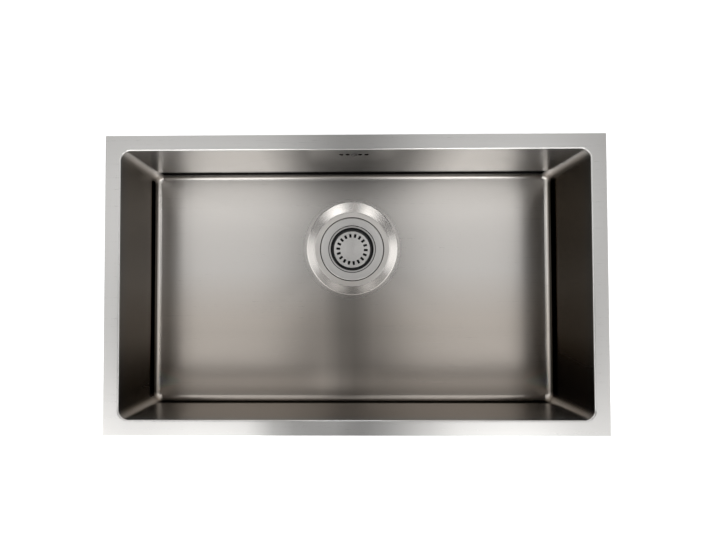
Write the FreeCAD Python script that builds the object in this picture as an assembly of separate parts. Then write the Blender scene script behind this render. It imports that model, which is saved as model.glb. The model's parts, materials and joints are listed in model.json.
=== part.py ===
# Undermount kitchen sink with a 3 1/2 inch basket-strainer waste and an overflow.
#
# All sizes are in millimetres. The origin is the middle of the bowl's opening on the top of
# the flange. +X runs along the bowl to the right, +Y to the rear wall with the overflow
# holes, and +Z is up.
import FreeCAD, Part
import math
import os
from FreeCAD import Placement, Rotation, Vector

# Bowl, pressed and folded from one sheet
BOWL_LENGTH = 700.0
BOWL_WIDTH = 400.0
BOWL_DEPTH = 200.0
SHEET = 1.2
FLANGE_WIDTH = 23.0
CORNER_RADIUS = 14.0  # upright corners of the bowl, on the inside
FLOOR_RADIUS = 10.0  # bend between walls and floor, on the inside
LIP_RADIUS = 2.5  # bend between flange and walls, on the top
FLOOR_FALL = 3.0  # fall of the floor to the drain
LEVEL_STRIP = 4.0  # level strip between the floor bend and the cross-breaks

# Drain recess in the floor
DRAIN_TO_REAR = 132.0  # rear wall to the drain's axis
RECESS_MOUTH_DIAMETER = 162.0
RECESS_FLAT_DIAMETER = 132.0
RECESS_DROP = 4.0  # below the point where the cross-breaks would meet
RECESS_BEND = 5.0
WASTE_HOLE_DIAMETER = 90.0

# Overflow holes in the rear wall
OVERFLOW_DEPTH = 33.0  # below the flange's top
OVERFLOW_PITCH = 9.7
OVERFLOW_HOLE_DIAMETER = 6.5
HOLES_PER_SIDE = 2  # to the left and to the right of the screw

# Clearances
FIT = 0.1  # radial gap of pieces that are screwed or plugged together
EDGE_GAP = 0.3  # the dish's turned-down edge above the recess
GLIDE = 0.3  # basket to the dish round it

# Strainer dish
DISH_DIAMETER = 112.0
DISH_SHEET = 1.0
DISH_EDGE_BEVEL = 1.2
STEP_DIAMETER = 83.6  # step in the dish's flange round the throat
STEP_HEIGHT = 1.6
THROAT_DIAMETER = 75.0
THROAT_DEPTH = 13.0  # from the dish's top to the shoulder below the throat
CHAMBER_DIAMETER = 70.0
CHAMBER_TAPER = 1.0  # on the radius
CHAMBER_BEVEL = 3.0  # between the chamber and the dish's floor
DISH_DEPTH = 28.0
DISH_SLOTS = 10
DISH_SLOT_START = 12.0  # from the axis
DISH_SLOT_END = 23.0
DISH_SLOT_WIDTH = 5.0

# Seals of the waste
DISH_SEAL_THICKNESS = 2.0
DISH_SEAL_OUTER_DIAMETER = 108.0
DISH_SEAL_INNER_DIAMETER = 93.0
WASTE_SEAL_THICKNESS = 3.0
WASTE_SEAL_OUTER_DIAMETER = 110.0
WASTE_SEAL_INNER_DIAMETER = 92.0

# Waste body
BODY_FLANGE_DIAMETER = 112.0
BODY_FLANGE_THICKNESS = 4.0
CUP_DIAMETER = 92.0
CUP_WALL = 3.0
CUP_HEIGHT = 45.0  # from the body's top to where the funnel begins
FUNNEL_HEIGHT = 9.0
OUTLET_DIAMETER = 47.8  # over the 1 1/2 inch thread
OUTLET_LENGTH = 26.0
OUTLET_WALL = 3.4
GUSSETS = 8
GUSSET_THICKNESS = 2.5
GUSSET_HEIGHT = 12.0
GUSSET_REACH = 8.0
SPIDER_ARMS = 3
SPIDER_THICKNESS = 3.0
SPIDER_HEIGHT = 15.0
BOSS_DIAMETER = 20.0
BOSS_HEIGHT = 20.0
BOSS_GAP = 4.0  # between the dish's floor and the boss

# Clamp screw and its insert
CLAMP_DIAMETER = 8.0
CLAMP_LENGTH = 19.0
CLAMP_HEX = 14.0  # across flats
CLAMP_HEX_HEIGHT = 5.0
CLAMP_NECK_DIAMETER = 12.4
CLAMP_HEAD_HEIGHT = 12.0
SOCKET_DIAMETER = 8.4
SOCKET_DEPTH = 10.0
INSERT_DIAMETER = 14.0
INSERT_LENGTH = 14.0

# Basket
BASKET_SHEET = 0.8
CAP_DIAMETER = 67.0
CAP_DROP = 7.0  # from the dish's top to the cap's top
CAP_HEIGHT = 11.0
CAP_BEVEL = 1.6
CAP_SLOTS = 18
CAP_SLOT_CENTRE = 24.8  # from the axis
CAP_SLOT_LENGTH = 6.6
CAP_SLOT_WIDTH = 3.8
CAP_FIRST_SLOT = 97.0  # degrees from +X
RING_HEIGHT = 3.8
RING_BEVEL = 0.8
RING_DROP = 1.8  # from the cap's top to the ring's top
STEM_DIAMETER = 7.6
STEM_ENTRY = 8.0  # length of the stem in the socket
GRIP_WIDTH = 2.0
GRIP_GROOVE = 0.8
GRIP_SETBACK = 2.0  # from the stem's end
STOPPER_RIM_DIAMETER = 58.0
STOPPER_RIM_INNER_DIAMETER = 50.0
STOPPER_SHEET = 2.5
STOPPER_CROWN_DIAMETER = 26.0
STOPPER_LIFT = 1.5  # from the clamp screw's head to the stopper

# Overflow housing behind the wall
HOUSING_LENGTH = 60.0
HOUSING_HEIGHT = 24.0
HOUSING_WALL = 2.5
HOUSING_BEVEL = 5.0
OVERFLOW_SEAL_THICKNESS = 2.0
SPIGOT_LENGTH = 16.0
OVERFLOW_SCREW_DIAMETER = 5.0
OVERFLOW_SCREW_LENGTH = 14.0
SCREW_HEAD_DIAMETER = 9.2
SCREW_HEAD_HEIGHT = 2.4
SCREW_HEAD_BEVEL = 1.0
OVERFLOW_BOSS_DIAMETER = 12.0
OVERFLOW_INSERT_DIAMETER = 8.0
OVERFLOW_INSERT_LENGTH = 10.0

# Overflow hose and its two unions
HOSE_BORE = 16.0
HOSE_ROOT_DIAMETER = 18.4
HOSE_CREST_DIAMETER = 22.4
CUFF_DIAMETER = 19.6
CUFF_LENGTH = 14.0
COLLAR_THICKNESS = 2.0
UNION_THREAD_DIAMETER = 22.0
UNION_WASHER_THICKNESS = 2.0
NUT_DIAMETER = 26.0
NUT_GRIP = 1.0  # height of the grip ribs
NUT_GRIP_WIDTH = 3.0
NUT_GRIPS = 8
NUT_LIP = 2.0
NUT_THREAD_LENGTH = 9.0
NUT_TO_WALL = 1.2
HOSE_BEND_RADIUS = 40.0
RIB_PITCH = 8.6  # evened out so that the ribs fill the hose
RIB_CREST = 2.6  # width of a rib at its crest
RIB_FLANK = 1.6  # run of each flank along the hose
INLET_DROP = 29.0  # from the body's top to the hose inlet's axis
INLET_REACH = 64.0  # from the drain's axis to the end of the inlet

# Sound pads on the outside of the sheet
PAD_THICKNESS = 3.0
PAD_CORNER = 8.0
WALL_PAD_HEIGHT = 110.0
WALL_PAD_MIDDLE = 105.0  # below the flange's top
SIDE_PAD_LENGTH = 250.0
FRONT_PAD_LENGTH = 460.0
REAR_PAD_LENGTH = 200.0
REAR_PAD_SETBACK = 95.0  # from the end wall
FLOOR_PAD_LENGTH = 200.0
FLOOR_PAD_WIDTH = 290.0
FLOOR_PAD_SETBACK = 45.0  # from the end wall

# Places that follow from the sizes
HALF_LENGTH = BOWL_LENGTH / 2
HALF_WIDTH = BOWL_WIDTH / 2
DRAIN = Vector(0, HALF_WIDTH - DRAIN_TO_REAR, 0)
WALL_BACK = HALF_WIDTH + SHEET  # outside of the rear wall
RECESS_Z = -(BOWL_DEPTH + FLOOR_FALL + RECESS_DROP)
DISH_TOP = RECESS_Z + DISH_SEAL_THICKNESS + DISH_SHEET
SHOULDER_Z = DISH_TOP - THROAT_DEPTH
DISH_FLOOR = DISH_TOP - DISH_DEPTH
BODY_TOP = RECESS_Z - SHEET - WASTE_SEAL_THICKNESS
FUNNEL_TOP = BODY_TOP - CUP_HEIGHT
OUTLET_TOP = FUNNEL_TOP - FUNNEL_HEIGHT
OUTLET_END = OUTLET_TOP - OUTLET_LENGTH
BOSS_TOP = DISH_FLOOR - DISH_SHEET - BOSS_GAP
CAP_TOP = DISH_TOP - CAP_DROP
HEAD_TOP = DISH_FLOOR + CLAMP_HEAD_HEIGHT
OVERFLOW_Z = -OVERFLOW_DEPTH
HOUSING_FRONT = WALL_BACK + OVERFLOW_SEAL_THICKNESS
HOSE_Y = WALL_BACK + NUT_TO_WALL + NUT_DIAMETER / 2 + NUT_GRIP
HOUSING_BACK = HOSE_Y + UNION_THREAD_DIAMETER / 2
HOUSING_FOOT = OVERFLOW_Z - HOUSING_HEIGHT / 2
UPPER_UNION = Vector(0, HOSE_Y, HOUSING_FOOT - SPIGOT_LENGTH)
LOWER_UNION = Vector(0, DRAIN.y + INLET_REACH, BODY_TOP - INLET_DROP)
DOWN = Vector(0, 0, -1)
UP = Vector(0, 0, 1)
REARWARD = Vector(0, 1, 0)
CUT_MARGIN = 5.0  # how far a cutting solid runs past the face it opens
NEAR = 0.01  # when two places count as the same
HEX_SIDES = 6


# Shapes that several pieces are made of


def rounded_face(corners):
    """A closed outline in the XZ plane from corners (x, z, radius), as a face."""
    arcs = []
    for index, (x, z, radius) in enumerate(corners):
        corner = Vector(x, 0, z)
        last = Vector(corners[index - 1][0], 0, corners[index - 1][1])
        following = corners[(index + 1) % len(corners)]
        to_last = (last - corner).normalize()
        to_next = (Vector(following[0], 0, following[1]) - corner).normalize()
        half_angle = to_last.getAngle(to_next) / 2
        if radius == 0:
            arcs.append((corner, None, corner))
            continue
        reach = radius / math.tan(half_angle)
        inward = (to_last + to_next).normalize()
        middle = corner + inward * (radius / math.sin(half_angle) - radius)
        arcs.append((corner + to_last * reach, middle, corner + to_next * reach))
    edges = []
    for index, (start, middle, end) in enumerate(arcs):
        if middle is not None:
            edges.append(Part.Arc(start, middle, end).toShape())
        next_start = arcs[(index + 1) % len(arcs)][0]
        if end.distanceToPoint(next_start) > NEAR:
            edges.append(Part.makeLine(end, next_start))
    return Part.Face(Part.Wire(edges))


def sheet_outline(path, thickness):
    """Corners of a sheet whose face follows path and whose thickness lies to the left of it."""
    points = [Vector(x, 0, z) for x, z in path]
    normals = []
    for start, end in zip(points, points[1:]):
        along = (end - start).normalize()
        normals.append(Vector(-along.z, 0, along.x))
    back = []
    for index, point in enumerate(points):
        before = normals[max(index - 1, 0)]
        after = normals[min(index, len(normals) - 1)]
        back.append(point + (before + after) * (thickness / (1 + before.dot(after))))
    return [(point.x, point.z, 0) for point in points + back[::-1]]


def turned(corners, axis_at=DRAIN):
    """The solid that the outline makes when turned about an upright axis."""
    solid = rounded_face(corners).revolve(Vector(), UP, 360)
    return solid.translated(axis_at)


def ring(outer_diameter, inner_diameter, bottom, height, axis_at=DRAIN):
    outer = Part.makeCylinder(outer_diameter / 2, height, Vector(0, 0, bottom))
    hole = Part.makeCylinder(inner_diameter / 2, height, Vector(0, 0, bottom))
    return outer.cut(hole).translated(axis_at)


def slot_form(length, width, height):
    """An upright bar with half-round ends, centred on the origin, standing on z = 0."""
    run = length / 2 - width / 2
    half = width / 2
    edges = [
        Part.makeLine(Vector(-run, -half, 0), Vector(run, -half, 0)),
        Part.Arc(Vector(run, -half, 0), Vector(run + half, 0, 0), Vector(run, half, 0)).toShape(),
        Part.makeLine(Vector(run, half, 0), Vector(-run, half, 0)),
        Part.Arc(Vector(-run, half, 0), Vector(-run - half, 0, 0), Vector(-run, -half, 0)).toShape(),
    ]
    return Part.Face(Part.Wire(edges)).extrude(Vector(0, 0, height))


def slot_circle(count, centre, length, width, bottom, height, first_angle=0.0):
    """Radial slots round the drain's axis, as cutting solids."""
    slots = []
    for index in range(count):
        slot = Part.makeBox(length, width, height, Vector(centre - length / 2, -width / 2, bottom))
        slot.rotate(Vector(), UP, first_angle + index * 360 / count)
        slots.append(slot.translated(DRAIN))
    return slots


def pointing(shape, place, direction):
    """A shape made along +Z from the origin, moved to place and turned to direction."""
    moved = shape.copy()
    moved.Placement = Placement(place, Rotation(UP, direction))
    return moved


# Bowl


def cross_breaks(grow):
    """The fall of the floor: four planes that meet in creases from the corners to the drain."""
    inset = FLOOR_RADIUS + LEVEL_STRIP
    x, y = HALF_LENGTH - inset, HALF_WIDTH - inset
    z = -(BOWL_DEPTH + grow)
    corners = [Vector(-x, -y, z), Vector(x, -y, z), Vector(x, y, z), Vector(-x, y, z)]
    lowest = Vector(DRAIN.x, DRAIN.y, z - FLOOR_FALL)
    faces = [Part.Face(Part.makePolygon(corners + corners[:1]))]
    for index, corner in enumerate(corners):
        triangle = [corners[index - 1], corner, lowest, corners[index - 1]]
        faces.append(Part.Face(Part.makePolygon(triangle)))
    return Part.Solid(Part.Shell(faces))


def recess(grow):
    """The round pressed recess: a level seat and a sloping band that rises into the floor."""
    mouth, flat = RECESS_MOUTH_DIAMETER / 2, RECESS_FLAT_DIAMETER / 2
    front_run = DRAIN.y + HALF_WIDTH - FLOOR_RADIUS - LEVEL_STRIP
    mouth_z = -(BOWL_DEPTH + FLOOR_FALL * (1 - mouth / front_run))
    slope = (mouth - flat) / (mouth_z - RECESS_Z)
    top = RECESS_Z + 2 * (mouth_z - RECESS_Z)
    corners = [
        (0, RECESS_Z - grow, 0),
        (flat, RECESS_Z - grow, RECESS_BEND + grow),
        (flat + slope * (top - RECESS_Z), top - grow, 0),
        (0, top - grow, 0),
    ]
    return turned(corners)


def bowl_form(grow, top):
    """The space inside the bowl, or inside its outer surface when grow is the sheet."""
    x, y, z = HALF_LENGTH + grow, HALF_WIDTH + grow, -(BOWL_DEPTH + grow)
    form = Part.makeBox(2 * x, 2 * y, top - z, Vector(-x, -y, z))
    upright = [edge for edge in form.Edges if abs(edge.tangentAt(edge.FirstParameter).z) > 1 - NEAR]
    form = form.makeFillet(CORNER_RADIUS + grow, upright)
    foot = [edge for edge in form.Edges if edge.BoundBox.ZMax < z + NEAR]
    form = form.makeFillet(FLOOR_RADIUS + grow, foot)
    return form.fuse([cross_breaks(grow), recess(grow)]).removeSplitter()


def bend_edges(shape, z, grow):
    """The edges round the bowl's opening at a height, and not the flange's own edges."""
    reach_x, reach_y = HALF_LENGTH + grow + NEAR, HALF_WIDTH + grow + NEAR
    chosen = []
    for edge in shape.Edges:
        box = edge.BoundBox
        level = abs(box.ZMin - z) < NEAR and abs(box.ZMax - z) < NEAR
        inside_x = box.XMin > -reach_x and box.XMax < reach_x
        inside_y = box.YMin > -reach_y and box.YMax < reach_y
        if level and inside_x and inside_y:
            chosen.append(edge)
    return chosen


def sink_bowl(outside, inside):
    x, y = HALF_LENGTH + FLANGE_WIDTH, HALF_WIDTH + FLANGE_WIDTH
    flange = Part.makeBox(2 * x, 2 * y, SHEET, Vector(-x, -y, -SHEET))
    bowl = flange.fuse(outside).cut(inside).removeSplitter()
    bowl = bowl.makeFillet(LIP_RADIUS - SHEET, bend_edges(bowl, -SHEET, SHEET))
    bowl = bowl.makeFillet(LIP_RADIUS, bend_edges(bowl, 0, 0))
    below_recess = DRAIN + Vector(0, 0, RECESS_Z - CUT_MARGIN)
    holes = [Part.makeCylinder(WASTE_HOLE_DIAMETER / 2, 2 * CUT_MARGIN, below_recess)]
    through_wall = SHEET + 2 * CUT_MARGIN
    for side in (-1, 1):
        for step in range(1, HOLES_PER_SIDE + 1):
            place = Vector(side * step * OVERFLOW_PITCH, HALF_WIDTH - CUT_MARGIN, OVERFLOW_Z)
            holes.append(Part.makeCylinder(OVERFLOW_HOLE_DIAMETER / 2, through_wall, place, REARWARD))
    screw_place = Vector(0, HALF_WIDTH - CUT_MARGIN, OVERFLOW_Z)
    screw_radius = OVERFLOW_SCREW_DIAMETER / 2 + FIT
    holes.append(Part.makeCylinder(screw_radius, through_wall, screw_place, REARWARD))
    return bowl.cut(holes)


# Waste


def strainer_dish():
    outer, step = DISH_DIAMETER / 2, STEP_DIAMETER / 2
    throat, chamber = THROAT_DIAMETER / 2, CHAMBER_DIAMETER / 2
    foot = chamber - CHAMBER_TAPER
    path = [
        (outer, RECESS_Z + EDGE_GAP),
        (outer, DISH_TOP - DISH_EDGE_BEVEL),
        (outer - DISH_EDGE_BEVEL, DISH_TOP),
        (step, DISH_TOP),
        (step, DISH_TOP - STEP_HEIGHT),
        (throat, DISH_TOP - STEP_HEIGHT),
        (throat, SHOULDER_Z),
        (chamber, SHOULDER_Z),
        (foot, DISH_FLOOR + CHAMBER_BEVEL),
        (foot - CHAMBER_BEVEL, DISH_FLOOR),
        (CLAMP_DIAMETER / 2 + FIT, DISH_FLOOR),
    ]
    dish = turned(sheet_outline(path, DISH_SHEET))
    middle = (DISH_SLOT_START + DISH_SLOT_END) / 2
    length = DISH_SLOT_END - DISH_SLOT_START
    bottom = DISH_FLOOR - DISH_SHEET - CUT_MARGIN
    slots = slot_circle(DISH_SLOTS, middle, length, DISH_SLOT_WIDTH, bottom, 2 * CUT_MARGIN)
    return dish.cut(slots)


def dish_seal():
    return ring(DISH_SEAL_OUTER_DIAMETER, DISH_SEAL_INNER_DIAMETER, RECESS_Z, DISH_SEAL_THICKNESS)


def waste_seal():
    return ring(WASTE_SEAL_OUTER_DIAMETER, WASTE_SEAL_INNER_DIAMETER, BODY_TOP, WASTE_SEAL_THICKNESS)


def waste_body():
    """The moulded cup: flange, gussets, funnel, threaded outlet, inlet, spider and boss."""
    flange, cup = BODY_FLANGE_DIAMETER / 2, CUP_DIAMETER / 2
    outlet = OUTLET_DIAMETER / 2
    flange_foot = BODY_TOP - BODY_FLANGE_THICKNESS
    outside = turned([
        (0, BODY_TOP, 0), (0, OUTLET_END, 0), (outlet, OUTLET_END, 0), (outlet, OUTLET_TOP, 0),
        (cup, FUNNEL_TOP, 0), (cup, flange_foot, 0), (flange, flange_foot, 0), (flange, BODY_TOP, 0),
    ])
    cup_inside, bore = cup - CUP_WALL, outlet - OUTLET_WALL
    inside = turned([
        (0, BODY_TOP + CUT_MARGIN, 0), (0, OUTLET_END - CUT_MARGIN, 0), (bore, OUTLET_END - CUT_MARGIN, 0),
        (bore, OUTLET_TOP + CUP_WALL, 0), (cup_inside, FUNNEL_TOP + CUP_WALL, 0),
        (cup_inside, BODY_TOP + CUT_MARGIN, 0),
    ])
    inlet_z = LOWER_UNION.z
    wall_middle = cup - CUP_WALL / 2
    inlet_start = DRAIN + Vector(0, wall_middle, inlet_z)
    spigot = Part.makeCylinder(UNION_THREAD_DIAMETER / 2, INLET_REACH - wall_middle, inlet_start, REARWARD)
    shell = outside.fuse([spigot] + gussets(cup, flange_foot)).cut(inside)
    bore_start = inlet_start - Vector(0, CUP_WALL + CUT_MARGIN, 0)
    shell = shell.cut(Part.makeCylinder(HOSE_BORE / 2, INLET_REACH, bore_start, REARWARD))
    boss = Part.makeCylinder(BOSS_DIAMETER / 2, BOSS_HEIGHT, DRAIN + Vector(0, 0, BOSS_TOP - BOSS_HEIGHT))
    arms = []
    for index in range(SPIDER_ARMS):
        corner = Vector(0, -SPIDER_THICKNESS / 2, BOSS_TOP - BOSS_HEIGHT)
        arm = Part.makeBox(wall_middle, SPIDER_THICKNESS, SPIDER_HEIGHT, corner)
        arm.rotate(Vector(), UP, index * 360 / SPIDER_ARMS - 90)
        arms.append(arm.translated(DRAIN))
    pocket = INSERT_LENGTH + FIT
    insert_hole = Part.makeCylinder(
        INSERT_DIAMETER / 2 + FIT, pocket + CUT_MARGIN, DRAIN + Vector(0, 0, BOSS_TOP - pocket)
    )
    return shell.fuse([boss] + arms).cut(insert_hole).removeSplitter()


def gussets(cup, flange_foot):
    """Stiffening plates between the waste body's flange and its cup."""
    plates = []
    for index in range(GUSSETS):
        root = cup - CUP_WALL / 2
        tip = cup + GUSSET_REACH
        outline = [(root, flange_foot, 0), (tip, flange_foot, 0), (root, flange_foot - GUSSET_HEIGHT, 0)]
        plate = rounded_face(outline).extrude(Vector(0, GUSSET_THICKNESS, 0))
        plate.translate(Vector(0, -GUSSET_THICKNESS / 2, 0))
        plate.rotate(Vector(), UP, (index + 0.5) * 360 / GUSSETS)
        plates.append(plate.translated(DRAIN))
    return plates


def clamp_screw():
    """Screw with a hexagon and a neck, bored as the socket of the basket's stem."""
    corner = CLAMP_HEX / 2 / math.cos(math.pi / HEX_SIDES)
    turns = [index * 2 * math.pi / HEX_SIDES for index in range(HEX_SIDES + 1)]
    points = [Vector(corner * math.cos(turn), corner * math.sin(turn), 0) for turn in turns]
    hexagon = Part.Face(Part.makePolygon(points)).extrude(Vector(0, 0, CLAMP_HEX_HEIGHT))
    neck = Part.makeCylinder(CLAMP_NECK_DIAMETER / 2, CLAMP_HEAD_HEIGHT)
    shank = Part.makeCylinder(CLAMP_DIAMETER / 2, CLAMP_LENGTH, Vector(), DOWN)
    socket = Part.makeCylinder(
        SOCKET_DIAMETER / 2, SOCKET_DEPTH + CUT_MARGIN, Vector(0, 0, CLAMP_HEAD_HEIGHT - SOCKET_DEPTH)
    )
    screw = hexagon.fuse([neck, shank]).cut(socket).removeSplitter()
    return screw.translated(DRAIN + Vector(0, 0, DISH_FLOOR))


def clamp_insert():
    bottom = BOSS_TOP - INSERT_LENGTH - FIT
    return ring(INSERT_DIAMETER, CLAMP_DIAMETER + 2 * FIT, bottom, INSERT_LENGTH)


# Basket, the one piece of the sink that is lifted by hand


def basket_cap():
    edge = CAP_DIAMETER / 2
    path = [
        (edge, CAP_TOP - CAP_HEIGHT), (edge, CAP_TOP - CAP_BEVEL),
        (edge - CAP_BEVEL, CAP_TOP), (0, CAP_TOP),
    ]
    cap = turned(sheet_outline(path, BASKET_SHEET))
    bottom = CAP_TOP - BASKET_SHEET - CUT_MARGIN
    slots = slot_circle(
        CAP_SLOTS, CAP_SLOT_CENTRE, CAP_SLOT_LENGTH, CAP_SLOT_WIDTH, bottom, 2 * CUT_MARGIN, CAP_FIRST_SLOT
    )
    return cap.cut(slots)


def basket_ring():
    """Rubber ring that fills the gap between the basket and the throat."""
    inner, outer = CAP_DIAMETER / 2, THROAT_DIAMETER / 2 - GLIDE
    top = CAP_TOP - RING_DROP
    bottom = top - RING_HEIGHT
    return turned([
        (inner, bottom, 0), (outer, bottom, 0), (outer, top - RING_BEVEL, 0), (outer - RING_BEVEL, top, 0),
        (inner, top, 0),
    ])


def basket_stem():
    radius = STEM_DIAMETER / 2
    top, end = CAP_TOP - BASKET_SHEET, HEAD_TOP - STEM_ENTRY
    groove = radius - GRIP_GROOVE
    groove_foot = end + GRIP_SETBACK
    return turned([
        (0, end, 0), (groove, end, 0), (radius, end + GRIP_GROOVE, 0), (radius, groove_foot, 0),
        (groove, groove_foot, 0),
        (groove, groove_foot + GRIP_WIDTH, 0), (radius, groove_foot + GRIP_WIDTH, 0), (radius, top, 0),
        (0, top, 0),
    ])


def stem_ring():
    inner = STEM_DIAMETER - 2 * GRIP_GROOVE + FIT
    bottom = HEAD_TOP - STEM_ENTRY + GRIP_SETBACK
    return ring(SOCKET_DIAMETER - 2 * FIT, inner, bottom, GRIP_WIDTH)


def basket_stopper():
    """Rubber bell on the stem that closes the dish's floor round its slots."""
    rim, rim_inner = STOPPER_RIM_DIAMETER / 2, STOPPER_RIM_INNER_DIAMETER / 2
    crown = STOPPER_CROWN_DIAMETER / 2
    rim_top = DISH_FLOOR + STOPPER_SHEET
    crown_top = HEAD_TOP + STOPPER_LIFT + STOPPER_SHEET
    path = [
        (rim, rim_top), (rim_inner, rim_top), (crown, crown_top), (STEM_DIAMETER / 2, crown_top),
    ]
    return turned(sheet_outline(path, STOPPER_SHEET))


# Overflow


def housing_outline(shrink, front, back):
    """The housing's long rounded form, lying along X and reaching from front to back."""
    form = slot_form(HOUSING_LENGTH - 2 * shrink, HOUSING_HEIGHT - 2 * shrink, back - front)
    form.rotate(Vector(), Vector(1, 0, 0), -90)
    return form.translated(Vector(0, front, OVERFLOW_Z))


def overflow_housing():
    shell = housing_outline(0, HOUSING_FRONT, HOUSING_BACK)
    rear = [edge for edge in shell.Edges if edge.BoundBox.YMin > HOUSING_BACK - NEAR]
    shell = shell.makeChamfer(HOUSING_BEVEL, rear)
    spigot_top = Vector(0, HOSE_Y, OVERFLOW_Z)
    spigot_length = OVERFLOW_Z - UPPER_UNION.z
    shell = shell.fuse(Part.makeCylinder(UNION_THREAD_DIAMETER / 2, spigot_length, spigot_top, DOWN))
    chamber = housing_outline(HOUSING_WALL, HOUSING_FRONT - CUT_MARGIN, HOUSING_BACK - HOUSING_WALL)
    rear = [edge for edge in chamber.Edges if edge.BoundBox.YMin > HOUSING_BACK - HOUSING_WALL - NEAR]
    chamber = chamber.makeChamfer(HOUSING_BEVEL - HOUSING_WALL / 2, rear)
    drop = Part.makeCylinder(HOSE_BORE / 2, spigot_length + CUT_MARGIN, spigot_top, DOWN)
    boss_length = HOUSING_BACK - HOUSING_WALL / 2 - HOUSING_FRONT
    boss_place = Vector(0, HOUSING_FRONT, OVERFLOW_Z)
    boss = Part.makeCylinder(OVERFLOW_BOSS_DIAMETER / 2, boss_length, boss_place, REARWARD)
    insert_radius = OVERFLOW_INSERT_DIAMETER / 2 + FIT
    screw_radius = OVERFLOW_SCREW_DIAMETER / 2 + FIT
    pocket = Part.makeCylinder(insert_radius, OVERFLOW_INSERT_LENGTH, boss_place, REARWARD)
    screw_hole = Part.makeCylinder(screw_radius, OVERFLOW_SCREW_LENGTH, boss_place, REARWARD)
    return shell.cut([chamber, drop]).fuse(boss).cut([pocket, screw_hole]).removeSplitter()


def overflow_seal():
    plate = housing_outline(0, WALL_BACK, HOUSING_FRONT)
    return plate.cut(housing_outline(HOUSING_WALL, WALL_BACK - CUT_MARGIN, HOUSING_FRONT + CUT_MARGIN))


def overflow_screw():
    head, shank = SCREW_HEAD_DIAMETER / 2, OVERFLOW_SCREW_DIAMETER / 2
    screw = turned([
        (0, SCREW_HEAD_HEIGHT, 0), (0, -OVERFLOW_SCREW_LENGTH, 0), (shank, -OVERFLOW_SCREW_LENGTH, 0),
        (shank, 0, 0), (head, 0, 0), (head, SCREW_HEAD_HEIGHT - SCREW_HEAD_BEVEL, 0),
        (head - SCREW_HEAD_BEVEL, SCREW_HEAD_HEIGHT, 0),
    ], Vector())
    return pointing(screw, Vector(0, HALF_WIDTH, OVERFLOW_Z), Vector(0, -1, 0))


def overflow_insert():
    bore = OVERFLOW_SCREW_DIAMETER + 2 * FIT
    insert = ring(OVERFLOW_INSERT_DIAMETER, bore, 0, OVERFLOW_INSERT_LENGTH, Vector())
    return pointing(insert, Vector(0, HOUSING_FRONT, OVERFLOW_Z), REARWARD)


# Hose with its unions. A union's place is the end face of the threaded spigot, and its
# direction runs from there along the hose.


def union_washer(place, direction):
    washer = ring(UNION_THREAD_DIAMETER, HOSE_BORE, 0, UNION_WASHER_THICKNESS, Vector())
    return pointing(washer, place, direction)


def union_nut(place, direction):
    lip_start = UNION_WASHER_THICKNESS + COLLAR_THICKNESS
    height = NUT_THREAD_LENGTH + lip_start + NUT_LIP
    nut = Part.makeCylinder(NUT_DIAMETER / 2, height, Vector(0, 0, -NUT_THREAD_LENGTH))
    grips = []
    for index in range(NUT_GRIPS):
        corner = Vector(0, -NUT_GRIP_WIDTH / 2, -NUT_THREAD_LENGTH)
        grip = Part.makeBox(NUT_DIAMETER / 2 + NUT_GRIP, NUT_GRIP_WIDTH, height, corner)
        grip.rotate(Vector(), UP, (index + 0.5) * 360 / NUT_GRIPS)
        grips.append(grip)
    thread = Part.makeCylinder(
        UNION_THREAD_DIAMETER / 2 + FIT, NUT_THREAD_LENGTH + CUT_MARGIN + lip_start,
        Vector(0, 0, -NUT_THREAD_LENGTH - CUT_MARGIN),
    )
    mouth = Part.makeCylinder(CUFF_DIAMETER / 2 + FIT, height + 2 * CUT_MARGIN, Vector(0, 0, -height))
    return pointing(nut.fuse(grips).cut([thread, mouth]).removeSplitter(), place, direction)


def hose_route():
    """The hose's two straight runs and its bend: start, run down, run forward."""
    start = UPPER_UNION + DOWN * UNION_WASHER_THICKNESS
    end = LOWER_UNION + REARWARD * UNION_WASHER_THICKNESS
    run_down = start.z - end.z - HOSE_BEND_RADIUS
    run_forward = start.y - HOSE_BEND_RADIUS - end.y
    return start, run_down, run_forward


def hose_station(along):
    """The hose's middle and heading at a distance along it."""
    start, run_down, _ = hose_route()
    bend = HOSE_BEND_RADIUS * math.pi / 2
    if along <= run_down:
        return start + DOWN * along, DOWN
    turn = min((along - run_down) / HOSE_BEND_RADIUS, math.pi / 2)
    centre = start + DOWN * run_down - REARWARD * HOSE_BEND_RADIUS
    middle = centre + Vector(0, math.cos(turn), -math.sin(turn)) * HOSE_BEND_RADIUS
    heading = Vector(0, -math.sin(turn), -math.cos(turn))
    return middle + heading * max(along - run_down - bend, 0), heading


def hose_circle(along, radius):
    """A circle square to the hose whose start point stays on the +X side."""
    middle, heading = hose_station(along)
    circle = Part.Wire(Part.makeCircle(radius))
    sideways = Vector(1, 0, 0)
    circle.Placement = Placement(middle, Rotation(sideways, heading.cross(sideways), heading, "ZXY"))
    return circle


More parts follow.
